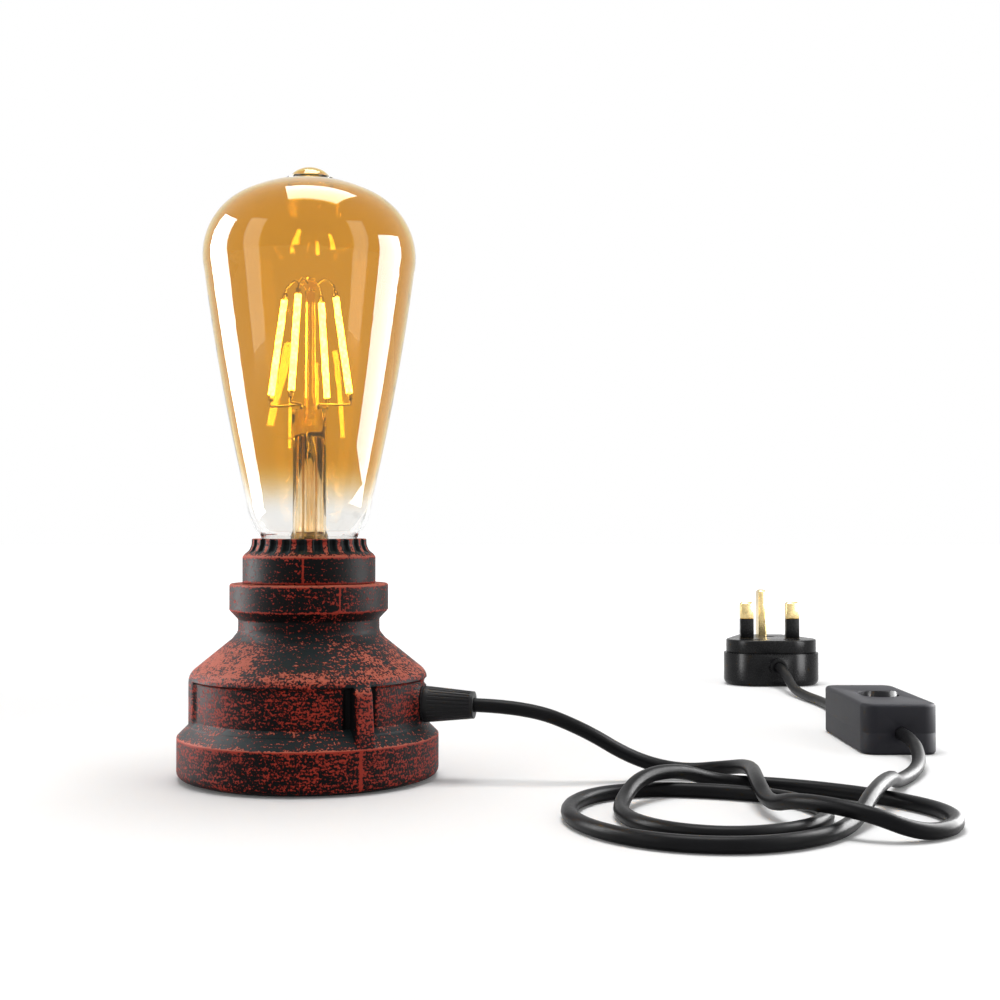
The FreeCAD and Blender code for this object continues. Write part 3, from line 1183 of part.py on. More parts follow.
for x, y, z in plug_terminal_at.values():
    low = z - PLUG_TERMINAL[2] / 2
    way = rod(CORE_D / 2 + CORD_CLEAR, V(x, y - 5, z), V(x, y + 5, z))
    thread = rod(TERMINAL_SCREW_R + SCREW_CLEAR, V(x, y, low), V(x, y, z))
    terminals.append(at_plug(block(PLUG_TERMINAL, (x, y), low).cut([way, thread])))
    head = V(x, y, low - TERMINAL_SCREW_OUT)
    grub = rod(TERMINAL_SCREW_R, head, V(x, y, z - CORE_D / 2 - CORD_CLEAR))
    slot = block((GRUB_SLOT, 2 * TERMINAL_SCREW_R, GRUB_SLOT), (x, y), head.z)
    terminal_screws.append(at_plug(grub.cut(slot)))
keep("core_terminals", *terminals)
keep("terminal_screws", *terminal_screws)
x, y, z = plug_terminal_at["live"]
strip_at = neck_end + CORE_START
live_run = [
    V(-split, strip_at, PLUG_CORD_Z), V(-split - 0.6, strip_at + 3, PLUG_CORD_Z), V(x, y - 20, z),
    V(x, y, z),
]
keep("live_cores", *live_cores, at_plug(tube_along(live_run, CORE_D)))
x, y, z = plug_terminal_at["neutral"]
neutral_run = [
    V(split, strip_at, PLUG_CORD_Z), V(split + 0.6, strip_at + 3, PLUG_CORD_Z), V(4.2, strip_at + 6.4, z),
    V(x, y - 6.0, z), V(x, y, z),
]
keep("neutral_cores", *neutral_cores, at_plug(tube_along(neutral_run, CORE_D)))

os.makedirs("parts", exist_ok=True)
for name, shape in parts.items():
    if not shape.isValid():
        print("not valid:", name)
    for solid in shape.Solids:
        if solid.Volume < 0:
            print("inside out:", name)
    shape.exportStep(f"parts/{name}.step")
print(len(parts), "nodes", sum(len(shape.Solids) for shape in parts.values()), "solids")
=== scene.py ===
import math

import bmesh
import bpy
from bpy.props import FloatProperty, FloatVectorProperty, IntProperty, PointerProperty
from mathutils import Matrix, Vector


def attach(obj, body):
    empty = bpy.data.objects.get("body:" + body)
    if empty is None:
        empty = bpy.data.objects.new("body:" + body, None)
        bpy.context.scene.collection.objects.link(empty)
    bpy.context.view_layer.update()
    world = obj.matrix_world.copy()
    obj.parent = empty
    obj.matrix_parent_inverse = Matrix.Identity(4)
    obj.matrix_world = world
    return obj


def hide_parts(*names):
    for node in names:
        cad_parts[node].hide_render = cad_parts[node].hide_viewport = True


bl_info = {
    "name": "Pipe Table Lamp",
    "version": (1, 0, 0),
    "blender": (4, 5, 0),
    "location": "3D Viewport > Sidebar > Pipe Lamp",
    "description": "Dresses the pipe table lamp: worn red casting, filament bulb, cord, switch and plug",
    "category": "Object",
}

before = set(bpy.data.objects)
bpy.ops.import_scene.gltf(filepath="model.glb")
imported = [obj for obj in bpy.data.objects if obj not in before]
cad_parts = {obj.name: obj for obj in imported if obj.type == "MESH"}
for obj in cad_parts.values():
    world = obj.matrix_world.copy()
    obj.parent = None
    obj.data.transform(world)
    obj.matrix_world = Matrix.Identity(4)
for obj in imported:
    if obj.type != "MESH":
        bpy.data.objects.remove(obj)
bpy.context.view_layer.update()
MM = 0.001

# Places in the part, in millimetres
GLAND_ANGLE = -10.0
GLAND_Z = 22.6
GLAND_SEAT = 35.7
GLAND_TIP = 51.5
SWITCH_X = 192.0
SWITCH_Y = 70.5
SWITCH_HALF = 30.5
SWITCH_CORD_Z = 7.2
PLUG_X = 190.0
PLUG_Y = 243.0
PLUG_CORD_Z = 10.0
LIE = 2.1
OVER = 7.4
RIB_ANGLE = -58.0
RIB_FOOT_Z = 12.9
RIB_BEND_Z = 28.7
RIB_TOP_Z = 33.4
PAD_ANGLE = 186.0
SEAM_ANGLE = -61.0
COLLAR_SEAM_ANGLE = -88.0
TIP_FOOT_Z = 182.3
TIP_REACH = 6.0
TIP_WIDER = 0.28
THREAD_PITCH = 3.629
THREAD_DEPTH = 0.85

# How far in and out the casting's features fade, in millimetres or degrees
PANEL_BAND = (16.5, 17.7, 29.3, 30.4)
PANEL_DEPTH = 1.3
SLOT_DEPTH = 0.8
BOSS_EDGE = (6.6, 7.5)
SEAT_EDGE = (5.9, 6.4)
PAD_EDGE = (18.0, 22.0)
RIB_EDGE = (2.45, 3.05)
SLOT_EDGE = (4.6, 5.9)
SEAM_EDGE = (0.15, 0.45)
BODY_BAND = (16.0, 17.4, 30.4, 31.4)
SHOULDER_BAND = (33.8, 35.0, 40.0, 42.0)
THREAD_BAND = (54.0, 55.8, 64.6, 66.4)
FLUTE_FOOT = 0.0679
FLUTE_RUN = 0.0011
FLUTE_REACH = (0.0162, 0.0168)
RIB_RADIUS = 37.0
WEAR_RANGE = 0.8

# Camera, in metres and degrees, and the studio's light
LENS = 52.85
EYE = (0.0584, -0.450, 0.0755)
EYE_PITCH = 1.11
TABLE_HALF = 6000
TABLE_GLOW = (0.05, 0.92)
TABLE_GLOW_REACH = (0.10, 1.10)
SOFT_LIGHT = 0.22
WHITE = (1.0, 1.0, 1.0, 1.0)
# Name, place, aim, width, height, power, and whether it also lights things or only shows as a reflection
LIGHTS = [
    ("softbox_left", (-0.62, -0.42, 0.30), (0.0, 0.0, 0.12), 0.26, 0.80, 1.6, True),
    ("softbox_right", (0.66, -0.36, 0.30), (0.05, 0.0, 0.12), 0.24, 0.80, 1.3, True),
    ("softbox_top", (0.06, 0.10, 1.00), (0.06, 0.02, 0.0), 0.55, 0.55, 9.2, True),
    ("card_left", (-0.197, 0.034, 0.150), (0.0, 0.0, 0.150), 0.115, 0.29, 2.0, False),
    ("card_right", (0.344, 0.064, 0.150), (0.0, 0.0, 0.150), 0.215, 0.29, 3.2, False),
]


# Sizes and colours that a user would change


class LampCastingSettings(bpy.types.PropertyGroup):
    red: FloatVectorProperty(
        name="Worn Red", description="Colour of the dry-brushed paint", subtype="COLOR",
        default=(0.34, 0.036, 0.022), min=0.0, max=1.0,
    )
    # Painted highlight: a lighter red where the casting faces up, standing in for the light from above.
    painted_highlight_red: FloatVectorProperty(
        name="Painted Highlight Red", description="Lighter paint on what faces up", subtype="COLOR",
        default=(0.50, 0.125, 0.078), min=0.0, max=1.0,
    )
    stain: FloatVectorProperty(
        name="Thin Red", description="Paint drawn out thin at the rim of each fleck", subtype="COLOR",
        default=(0.085, 0.008, 0.006), min=0.0, max=1.0,
    )
    iron: FloatVectorProperty(
        name="Dark Iron", description="Colour of the casting under the paint", subtype="COLOR",
        default=(0.0032, 0.0032, 0.0035), min=0.0, max=1.0,
    )
    # Painted reflection: blue-green on the bare iron where it faces up, standing in for the sky's reflection.
    sky_reflection_iron: FloatVectorProperty(
        name="Sky Reflection Iron", description="Colour of the bare casting where it faces up", subtype="COLOR",
        default=(0.012, 0.022, 0.024), min=0.0, max=1.0,
    )
    grain: FloatProperty(
        name="Cast Grain", description="Height of the cast skin's grain", default=0.00012, min=0.0, max=0.001,
        subtype="DISTANCE", unit="LENGTH",
    )
    segments: IntProperty(
        name="Segments", description="Divisions round the casting", default=540, min=64, max=600,
    )


class LampCollarSettings(bpy.types.PropertyGroup):
    flutes: IntProperty(
        name="Flutes", description="Number of flutes round the collar", default=24, min=8, max=48,
    )
    flute_depth: FloatProperty(
        name="Flute Depth", description="Depth of each flute", default=0.0010, min=0.0, max=0.003,
        subtype="DISTANCE", unit="LENGTH",
    )


class LampBulbSettings(bpy.types.PropertyGroup):
    amber: FloatVectorProperty(
        name="Amber", description="Tint of the coated glass", subtype="COLOR", default=(0.76, 0.49, 0.07),
        min=0.0, max=1.0,
    )
    glow: FloatVectorProperty(
        name="Filament Glow", description="Colour of the lit filaments", subtype="COLOR",
        default=(1.0, 0.62, 0.20), min=0.0, max=1.0,
    )
    power: FloatProperty(
        name="Glow Strength", description="Brightness of the filaments", default=80.0, min=0.0, max=200.0,
    )


class LampCordSettings(bpy.types.PropertyGroup):
    diameter: FloatProperty(
        name="Cord Diameter", description="Outside diameter of the cord", default=0.0042, min=0.002, max=0.01,
        subtype="DISTANCE", unit="LENGTH",
    )
    sheath: FloatVectorProperty(
        name="Sheath", description="Colour of the cord's sheath", subtype="COLOR",
        default=(0.004, 0.004, 0.0045), min=0.0, max=1.0,
    )


class LampFittingSettings(bpy.types.PropertyGroup):
    switch_body: FloatVectorProperty(
        name="Switch Body", description="Colour of the switch's shells", subtype="COLOR",
        default=(0.012, 0.012, 0.016), min=0.0, max=1.0,
    )
    plug_body: FloatVectorProperty(
        name="Plug Body", description="Colour of the plug", subtype="COLOR", default=(0.004, 0.004, 0.0045),
        min=0.0, max=1.0,
    )
    pin_brass: FloatVectorProperty(
        name="Pin Brass", description="Colour of the plug's pins", subtype="COLOR",
        default=(0.80, 0.62, 0.30), min=0.0, max=1.0,
    )


class LampSettings(bpy.types.PropertyGroup):
    casting: PointerProperty(type=LampCastingSettings, name="Casting", description="Cast base")
    collar: PointerProperty(type=LampCollarSettings, name="Collar", description="Fluted collar")
    bulb: PointerProperty(type=LampBulbSettings, name="Bulb", description="Filament bulb")
    cord: PointerProperty(type=LampCordSettings, name="Cord", description="Mains cord")
    fittings: PointerProperty(type=LampFittingSettings, name="Fittings", description="Switch and plug")


def settings():
    return bpy.context.scene.pipe_lamp


# Building blocks for meshes


def make_object(name, verts, faces, sharp=30.0):
    """Mesh object at the origin from points in millimetres, shaded smooth up to an angle."""
    mesh = bpy.data.meshes.new(name)
    mesh.from_pydata([Vector(v) * MM for v in verts], [], faces)
    mesh.validate()
    mesh.update()
    obj = bpy.data.objects.new(name, mesh)
    bpy.context.collection.objects.link(obj)
    smooth(obj, sharp)
    return obj


def smooth(obj, sharp):
    """Smooth shading, with edges kept sharp from an angle on."""
    for poly in obj.data.polygons:
        poly.use_smooth = True
    obj.data.set_sharp_from_angle(angle=math.radians(sharp))


def outward(obj, merge=0.00001):
    """Merges doubles and turns every face outwards."""
    bm = bmesh.new()
    bm.from_mesh(obj.data)
    bmesh.ops.remove_doubles(bm, verts=bm.verts, dist=merge)
    bmesh.ops.recalc_face_normals(bm, faces=bm.faces)
    bm.to_mesh(obj.data)
    bm.free()
    return obj


def rounded_path(corners, steps):
    """Polyline through (r, z, fillet) corners with each corner turned into an arc."""
    path = []
    count = len(corners)
    for k in range(count):
        r, z, fillet = corners[k]
        here = Vector((r, z))
        before = Vector(corners[k - 1][:2]) - here
        after = Vector(corners[(k + 1) % count][:2]) - here
        if fillet <= 0:
            path.append((r, z))
            continue
        bend = before.angle(after)
        reach = min(fillet / math.tan(bend / 2), 0.49 * before.length, 0.49 * after.length)
        radius = reach * math.tan(bend / 2)
        start = here + before.normalized() * reach
        end = here + after.normalized() * reach
        inward = (before.normalized() + after.normalized()).normalized()
        middle = here + inward * (radius / math.sin(bend / 2))
        a, b = start - middle, end - middle
        sweep = a.angle_signed(b)
        for n in range(steps + 1):
            turn = Matrix.Rotation(-sweep * n / steps, 2)
            point = middle + turn @ a
            path.append((point.x, point.y))
    return path


def divided(path, longest):
    """The closed path with long spans cut into even pieces."""
    out = []
    for k, (r, z) in enumerate(path):
        r2, z2 = path[(k + 1) % len(path)]
        span = math.hypot(r2 - r, z2 - z)
        pieces = max(1, math.ceil(span / longest))
        for n in range(pieces):
            out.append((r + (r2 - r) * n / pieces, z + (z2 - z) * n / pieces))
    return out


def ring_of(name, path, segments, shape, sharp):
    """Closed lathe from a closed (r, z) path off the axis; shape, if any, changes each radius."""
    verts, faces = [], []
    rows = len(path)
    for r, z in path:
        for s in range(segments):
            a = 2 * math.pi * s / segments
            radius = shape(r, z, a) if shape else r
            verts.append((radius * math.cos(a), radius * math.sin(a), z))
    for row in range(rows):
        low, high = row * segments, ((row + 1) % rows) * segments
        for s in range(segments):
            t = (s + 1) % segments
            faces.append((low + s, low + t, high + t, high + s))
    return outward(make_object(name, verts, faces, sharp))


def recast(node, name, sharp):
    """Merged, smoothly shaded copy of a CAD node to carry a better finish."""
    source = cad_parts[node]
    mesh = source.data.copy()
    mesh.transform(source.matrix_world)
    mesh.materials.clear()
    obj = bpy.data.objects.new(name, mesh)
    bpy.context.collection.objects.link(obj)
    outward(obj, 0.000002)
    smooth(obj, sharp)
    return obj


def evaluated(obj):
    """Turns a piece and its modifiers into one plain mesh."""
    graph = bpy.context.evaluated_depsgraph_get()
    mesh = bpy.data.meshes.new_from_object(obj.evaluated_get(graph), depsgraph=graph)
    obj.modifiers.clear()
    obj.data = mesh
    return obj


def finish_piece(obj, body, material, node):
    """Gives a piece its material and the body it rides on, and hides the CAD node it stands for."""
    obj.data.materials.clear()
    obj.data.materials.append(material)
    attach(obj, body)
    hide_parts(node)
    return obj


def dress(node, material):
    """A CAD node that stays gets a better material."""
    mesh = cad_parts[node].data
    if not mesh.materials:
        mesh.materials.append(material)
    for k in range(len(mesh.materials)):
        mesh.materials[k] = material


# Node trees


class Nodes:
    """Shorthand for building a node tree."""

    def __init__(self, tree):
        self.tree = tree

    def node(self, kind, **values):
        node = self.tree.nodes.new(kind)
        for key, value in values.items():
            if hasattr(node, key):
                setattr(node, key, value)
            else:
                node.inputs[key.replace("_", " ")].default_value = value
        return node

    def link(self, out, into):
        self.tree.links.new(out, into)
        return into

    def feed(self, socket, value):
        """Links an output to a socket, or sets the socket to a plain value."""
        if isinstance(value, bpy.types.NodeSocket):
            self.link(value, socket)
        else:
            socket.default_value = value

    def math(self, operation, a, b=None, clamp=False):
        node = self.node("ShaderNodeMath", operation=operation, use_clamp=clamp)
        self.feed(node.inputs[0], a)
        if b is not None:
            self.feed(node.inputs[1], b)
        return node.outputs[0]

    def spread(self, value, low, high, to_low=0.0, to_high=1.0):
        """Smooth change from one value to another between two bounds."""
        node = self.node("ShaderNodeMapRange", interpolation_type="SMOOTHSTEP")
        bounds = {"Value": value, "From Min": low, "From Max": high, "To Min": to_low, "To Max": to_high}
        for key, bound in bounds.items():
            self.feed(node.inputs[key], bound)
        return node.outputs["Result"]

    def length(self, vector):
        node = self.node("ShaderNodeVectorMath", operation="LENGTH")
        self.link(vector, node.inputs[0])
        return node.outputs["Value"]

    def seen_rays(self):
        """1 for what the camera, glass and metal see, 0 for the light that falls on things."""
        rays = self.node("ShaderNodeLightPath")
        seen = self.math("MAXIMUM", rays.outputs["Is Camera Ray"], rays.outputs["Is Glossy Ray"])
        return self.math("MAXIMUM", seen, rays.outputs["Is Transmission Ray"])


# Materials, each a small tree on Object coordinates, so a pattern stays with its piece


class Finish(Nodes):
    """One material, with its main shader and its coordinates."""

    def __init__(self, name, roughness, metallic=0.0, **sockets):
        self.material = bpy.data.materials.new(name)
        self.material.use_nodes = True
        super().__init__(self.material.node_tree)
        self.shader = self.tree.nodes["Principled BSDF"]
        self.set(Roughness=roughness, Metallic=metallic, **sockets)
        self.coords = self.node("ShaderNodeTexCoord")
        self.place = self.coords.outputs["Object"]

    def set(self, **sockets):
        for key, value in sockets.items():
            self.shader.inputs[key.replace("_", " ")].default_value = value

    def scaled(self, x, y, z, place=None):
        """Object coordinates stretched along each axis."""
        node = self.node("ShaderNodeMapping", Scale=(x, y, z))
        self.link(place or self.place, node.inputs["Vector"])
        return node.outputs["Vector"]

    def split(self, vector):
        """The three parts of a vector."""
        parts = self.node("ShaderNodeSeparateXYZ")
        self.link(vector, parts.inputs[0])
        return parts.outputs

    def round_coords(self, radius):
        """Coordinates unrolled round Z: along the turn, outwards and up, all in metres."""
        x, y, z = self.split(self.place)
        join = self.node("ShaderNodeCombineXYZ")
        self.link(self.math("MULTIPLY", self.math("ARCTAN2", y, x), radius), join.inputs["X"])
        self.link(z, join.inputs["Z"])
        square = self.math("ADD", self.math("MULTIPLY", x, x), self.math("MULTIPLY", y, y))
        self.link(self.math("SQRT", square), join.inputs["Y"])
        return join.outputs["Vector"]

    def noise(self, place, scale, detail=4.0, roughness=0.55, distortion=0.0):
        node = self.node(
            "ShaderNodeTexNoise", Scale=scale, Detail=detail, Roughness=roughness, Distortion=distortion,
        )
        self.link(place, node.inputs["Vector"])
        return node.outputs["Fac"]

    def cells(self, place, scale):
        node = self.node("ShaderNodeTexVoronoi", Scale=scale)
        self.link(place, node.inputs["Vector"])
        return node.outputs["Distance"]

    def blend(self, factor, a, b):
        """Mix of two colours, each a colour or a socket."""
        node = self.node("ShaderNodeMix", data_type="RGBA")
        self.link(factor, node.inputs["Factor"])
        for socket, value in zip((node.inputs[6], node.inputs[7]), (a, b)):
            if isinstance(value, bpy.types.NodeSocket):
                self.link(value, socket)
            else:
                socket.default_value = (*value[:3], 1.0)
        return node.outputs[2]

    def facing_up(self):
        """1 where the surface faces straight up, 0 on its sides and below."""
        return self.math("ADD", self.split(self.coords.outputs["Normal"])["Z"], 0.0, clamp=True)

    def by_height(self, stops):
        """Value that follows the height above the table, from (millimetres, value) stops."""
        low, high = stops[0][0], stops[-1][0]
        rise = self.math("SUBTRACT", self.split(self.place)["Z"], low * MM)
        share = self.math("DIVIDE", rise, (high - low) * MM)
        node = self.node("ShaderNodeValToRGB")
        marks = node.color_ramp.elements
        while len(marks) < len(stops):
            marks.new(0.5)
        for mark, (height, value) in zip(marks, stops):
            mark.position = (height - low) / (high - low)
            mark.color = (value, value, value, 1.0)
        self.link(share, node.inputs[0])
        return node.outputs["Color"]

    def attribute(self, name):
        return self.node("ShaderNodeAttribute", attribute_name=name).outputs["Fac"]

    def colour(self, socket):
        self.link(socket, self.shader.inputs["Base Color"])

    def rough(self, socket):
        self.link(socket, self.shader.inputs["Roughness"])

    def bump(self, height, distance, strength=1.0):
        node = self.node("ShaderNodeBump", Distance=distance, Strength=strength)
        self.link(height, node.inputs["Height"])
        self.link(node.outputs["Normal"], self.shader.inputs["Normal"])


# How much paint there is by height, with bright bands at the flange's top edge and the ring's edges as painted
# highlights and a dip under the shoulder's lip as painted shadow: (millimetres above the table, share)
CASTING_PAINT_AND_EDGE_LIGHT = [
    (0.8, 0.34), (3.0, 0.48), (12.3, 0.52), (12.7, 1.0), (12.95, 1.0), (13.3, 0.46), (14.2, 0.34),
    (16.6, 0.34), (17.6, 0.44), (19.5, 0.50), (27.0, 0.48), (29.4, 0.50), (30.4, 0.38),
    (31.4, 0.60), (32.6, 0.66), (33.8, 0.66), (35.0, 0.58), (38.0, 0.54), (41.2, 0.48),
    (43.0, 0.38), (49.0, 0.34), (50.4, 0.36), (50.65, 0.85), (50.9, 0.85), (51.2, 0.40),
    (52.6, 0.34), (57.9, 0.36), (58.45, 0.9), (58.9, 0.75),
]
# The collar's share, with bright bands at its ring edge, its flare's edge and its top lip as painted
# highlights.
COLLAR_PAINT_AND_EDGE_LIGHT = [
    (50.0, 0.3), (58.8, 0.5), (59.1, 0.8), (59.35, 0.8), (59.7, 0.30), (63.0, 0.26), (66.3, 0.32),
    (66.7, 0.85), (67.1, 0.95), (67.5, 0.6), (68.4, 0.42), (72.0, 0.42), (72.3, 0.6), (72.5, 0.7),
]


def worn_red_finish(name, opts, radius, cover):
    """Black casting dry-brushed with red: dark red round each fleck; where it faces up, a lighter red as
    painted highlight and blue-green bare iron as painted sky reflection.
    """
    f = Finish(name, roughness=0.5, Specular_IOR_Level=0.06)
    wrap = f.round_coords(radius)
    strokes = f.noise(f.scaled(260, 400, 1250, wrap), 1.0, 3.0, 0.6, 0.2)
    grit = f.noise(f.place, 1500.0, 2.0, 0.55)
    patch = f.noise(f.place, 60.0, 3.0, 0.55, 0.4)
    # Paint from proud edges and from the height stops, which also carry painted edge highlights, a painted
    # highlight on the shoulder's left and a painted shadow under the shoulder's lip.
    wear_and_highlight = f.attribute("wear_and_highlight")
    share = f.by_height(cover)
    level = f.math("MULTIPLY", f.math("SUBTRACT", grit, 0.5), 1.15)
    for part, weight in ((strokes, 0.80), (patch, 0.40), (wear_and_highlight, 0.55), (share, 0.62)):
        level = f.math("ADD", level, f.math("MULTIPLY", f.math("SUBTRACT", part, 0.5), weight))
    thin = f.spread(level, -0.02, 0.05)
    thick = f.spread(level, 0.055, 0.15)
    # Painted light: what faces up turns from dark iron to blue-green (painted sky reflection) and from red to
    # a lighter red (painted highlight).
    up = f.facing_up()
    dark = f.blend(up, opts.iron, opts.sky_reflection_iron)
    bright = f.blend(f.spread(up, 0.05, 0.75), opts.red, opts.painted_highlight_red)
    f.colour(f.blend(thick, f.blend(thin, dark, opts.stain), bright))
    dry = f.math("ADD", f.math("MULTIPLY", grit, 0.2), 0.38)
    f.rough(f.math("ADD", f.math("MULTIPLY", thin, 0.10), dry))
    skin = f.math("ADD", f.math("MULTIPLY", grit, 0.6), f.math("MULTIPLY", thick, 0.5))
    f.bump(skin, opts.grain, 0.85)
    return f.material


def amber_glass(name, opts):
    """Thin blown glass, amber above and clear near the neck, as the coating was sprayed."""
    f = Finish(name, roughness=0.0, Transmission_Weight=1.0, IOR=1.45)
    soft = f.noise(f.place, 30.0, 2.0)
    drift = f.math("MULTIPLY", f.math("SUBTRACT", soft, 0.5), 0.006)
    height = f.math("ADD", f.split(f.place)["Z"], drift)
    coat = f.spread(height, 0.079, 0.097)
    f.colour(f.blend(coat, (0.93, 0.93, 0.925), opts.amber))
    return f.material


def clear_glass(name):
    """Drawn glass with faint golden streaks along it."""
    f = Finish(name, roughness=0.02, Transmission_Weight=1.0, IOR=1.45)
    streak = f.noise(f.scaled(900, 900, 60), 1.0, 2.0)
    f.colour(f.blend(f.spread(streak, 0.4, 0.6), (0.90, 0.70, 0.42), (1.0, 0.94, 0.82)))
    return f.material


def glowing_filament(name, opts):
    """Phosphor-coated stick, white-hot along its middle and amber at the grain of its chips."""
    f = Finish(name, roughness=0.6)
    chips = f.cells(f.place, 900.0)
    warm = f.spread(chips, 0.15, 0.75)
    hot = f.blend(warm, (1.0, 0.80, 0.42), opts.glow)
    f.colour(f.blend(warm, (1.0, 0.75, 0.30), (0.95, 0.55, 0.12)))
    f.link(hot, f.shader.inputs["Emission Color"])
    f.set(Emission_Strength=opts.power)
    return f.material


def plain_metal(name, colour, roughness, brushed=1500.0):
    """Metal with fine turning marks and a little tarnish."""
    f = Finish(name, roughness=roughness, metallic=1.0)
    marks = f.noise(f.scaled(1, 1, 6), brushed, 3.0)
    stain = f.noise(f.place, 140.0, 3.0)
    dull = tuple(c * 0.75 for c in colour)
    f.colour(f.blend(f.spread(stain, 0.35, 0.7), dull, colour))
    f.rough(f.math("ADD", f.math("MULTIPLY", marks, 0.22), roughness - 0.08))
    f.bump(marks, 0.00003, 0.4)
    return f.material


def moulded_plastic(name, colour, roughness, grain=2600.0, depth=0.00004):
    """Moulded plastic with a fine spark-eroded grain."""
    f = Finish(name, roughness=roughness, Specular_IOR_Level=0.16)
    tooth = f.noise(f.place, grain, 3.0, 0.6)
    cloud = f.noise(f.place, 60.0, 2.0)
    light = tuple(min(1.0, c * 1.25) for c in colour)
    f.colour(f.blend(f.spread(cloud, 0.3, 0.7), colour, light))
    f.rough(f.math("ADD", f.math("MULTIPLY", tooth, 0.16), roughness - 0.08))
    f.bump(tooth, depth, 0.5)
    return f.material


def glazed_porcelain(name):
    """White glaze with a slightly uneven body."""
    f = Finish(name, roughness=0.18, Coat_Weight=0.4, Coat_Roughness=0.05)
    cloud = f.noise(f.place, 180.0, 3.0)
    f.colour(f.blend(cloud, (0.80, 0.78, 0.72), (0.88, 0.87, 0.83)))
    f.bump(cloud, 0.00005, 0.4)
    return f.material


def cord_sheath(name, colour):
    """Satin PVC with the drag marks of its extrusion."""
    f = Finish(name, roughness=0.36, Specular_IOR_Level=0.08)
    scuff = f.noise(f.place, 900.0, 4.0)
    cloud = f.noise(f.place, 45.0, 2.0)
    f.colour(f.blend(f.spread(cloud, 0.3, 0.7), colour, tuple(c * 1.9 for c in colour)))
    f.rough(f.math("ADD", f.math("MULTIPLY", scuff, 0.2), 0.26))
    f.bump(scuff, 0.00003, 0.4)
    return f.material


def closed_foam(name):
    """Black foam with its pores."""
    f = Finish(name, roughness=0.9)
    pores = f.cells(f.place, 1600.0)
    f.colour(f.blend(pores, (0.012, 0.012, 0.013), (0.032, 0.032, 0.034)))
    f.bump(pores, 0.00015, 0.8)
    return f.material


def table_white(name):
    """White table that keeps the object's shadow and shows white to the camera, glass and metal."""
    f = Finish(name, roughness=0.7, Specular_IOR_Level=0.1)
    cloud = f.noise(f.place, 3.0, 2.0)
    f.colour(f.blend(cloud, (0.80, 0.80, 0.80), (0.82, 0.82, 0.82)))
    glow = f.spread(f.length(f.place), *TABLE_GLOW_REACH, *TABLE_GLOW)
    f.link(f.math("MULTIPLY", f.seen_rays(), glow), f.shader.inputs["Emission Strength"])
    return f.material


# Rules for the casting's outside; paths are closed, in (radius, height, fillet)

CASTING_PATH = [
    (35.35, 0.8, 0.3), (39.6, 0.8, 3.0), (39.6, 12.95, 0.7), (36.1, 16.4, 1.0), (36.1, 31.6, 4.6),
    (23.2, 42.1, 2.0), (21.45, 44.3, 2.6), (21.45, 48.0, 0.9), (24.1, 50.8, 0.5), (24.1, 58.8, 0.7),
    (18.4, 58.8, 0.3), (18.4, 50.6, 0.0), (16.2, 50.6, 0.0), (16.2, 41.5, 0.0), (29.8, 33.0, 0.0),
    (32.4, 29.0, 0.0), (32.4, 4.1, 0.0), (35.35, 4.1, 0.0),
]


def step(value, low, high):
    """Smooth rise from 0 at low to 1 at high."""
    t = min(1.0, max(0.0, (value - low) / (high - low)))
    return t * t * (3 - 2 * t)


def within(value, start, full, fade, end):
    """1 inside a band, fading to 0 at its two ends."""
    return step(value, start, full) * (1 - step(value, fade, end))


def turn_from(angle, degrees):
    """Signed turn, in degrees, from a place on the casting."""
    return (math.degrees(angle) - degrees + 180.0) % 360.0 - 180.0


def rib_reach(z):
    """How far out the mould rib stands at a height, in millimetres."""
    if z < RIB_BEND_Z:
        return 39.5 - (z - RIB_FOOT_Z) * 0.1266
    return 37.5 - (z - RIB_BEND_Z) * 0.872


def casting_radius(r, z, angle):
    """Radius of the casting: sunk panels, two mould ribs, the plain pad and the gland's flat."""
    if r < 33.5 or z < 3.0:
        return r
    turn = math.radians(turn_from(angle, GLAND_ANGLE))
    from_gland = math.hypot(r * math.sin(turn), z - GLAND_Z) if abs(turn) < 0.5 else 99.0
    inside = within(z, *PANEL_BAND) * step(from_gland, *BOSS_EDGE)
    pad = 1 - step(abs(turn_from(angle, PAD_ANGLE)), *PAD_EDGE)
    ribs, slots = rib_share(angle)
    radius = r - inside * (1 - pad) * (1 - ribs) * (PANEL_DEPTH + SLOT_DEPTH * slots)
    if ribs > 0 and RIB_FOOT_Z < z < RIB_TOP_Z:
        radius = max(radius, radius + (rib_reach(z) - radius) * ribs)
    flat = (GLAND_SEAT - 0.05) / math.cos(turn)
    if from_gland < 7.0 and radius > flat:
        radius += (flat - radius) * (1 - step(from_gland, *SEAT_EDGE))
    return radius


def rib_share(angle):
    """How much of a point lies on a mould rib, and in the slots beside it."""
    ribs, slots = 0.0, 0.0
    for place in (RIB_ANGLE, RIB_ANGLE + 180.0):
        across = abs(math.radians(turn_from(angle, place))) * RIB_RADIUS
        ribs = max(ribs, 1 - step(across, *RIB_EDGE))
        slots = max(slots, 1 - step(across, *SLOT_EDGE))
    return ribs, slots


def seam_paint(x, y, place):
    """Paint along an upright seam at a place round the axis."""
    across = abs(math.radians(turn_from(math.atan2(y, x), place))) * math.hypot(x, y)
    return 1 - step(across, *SEAM_EDGE)


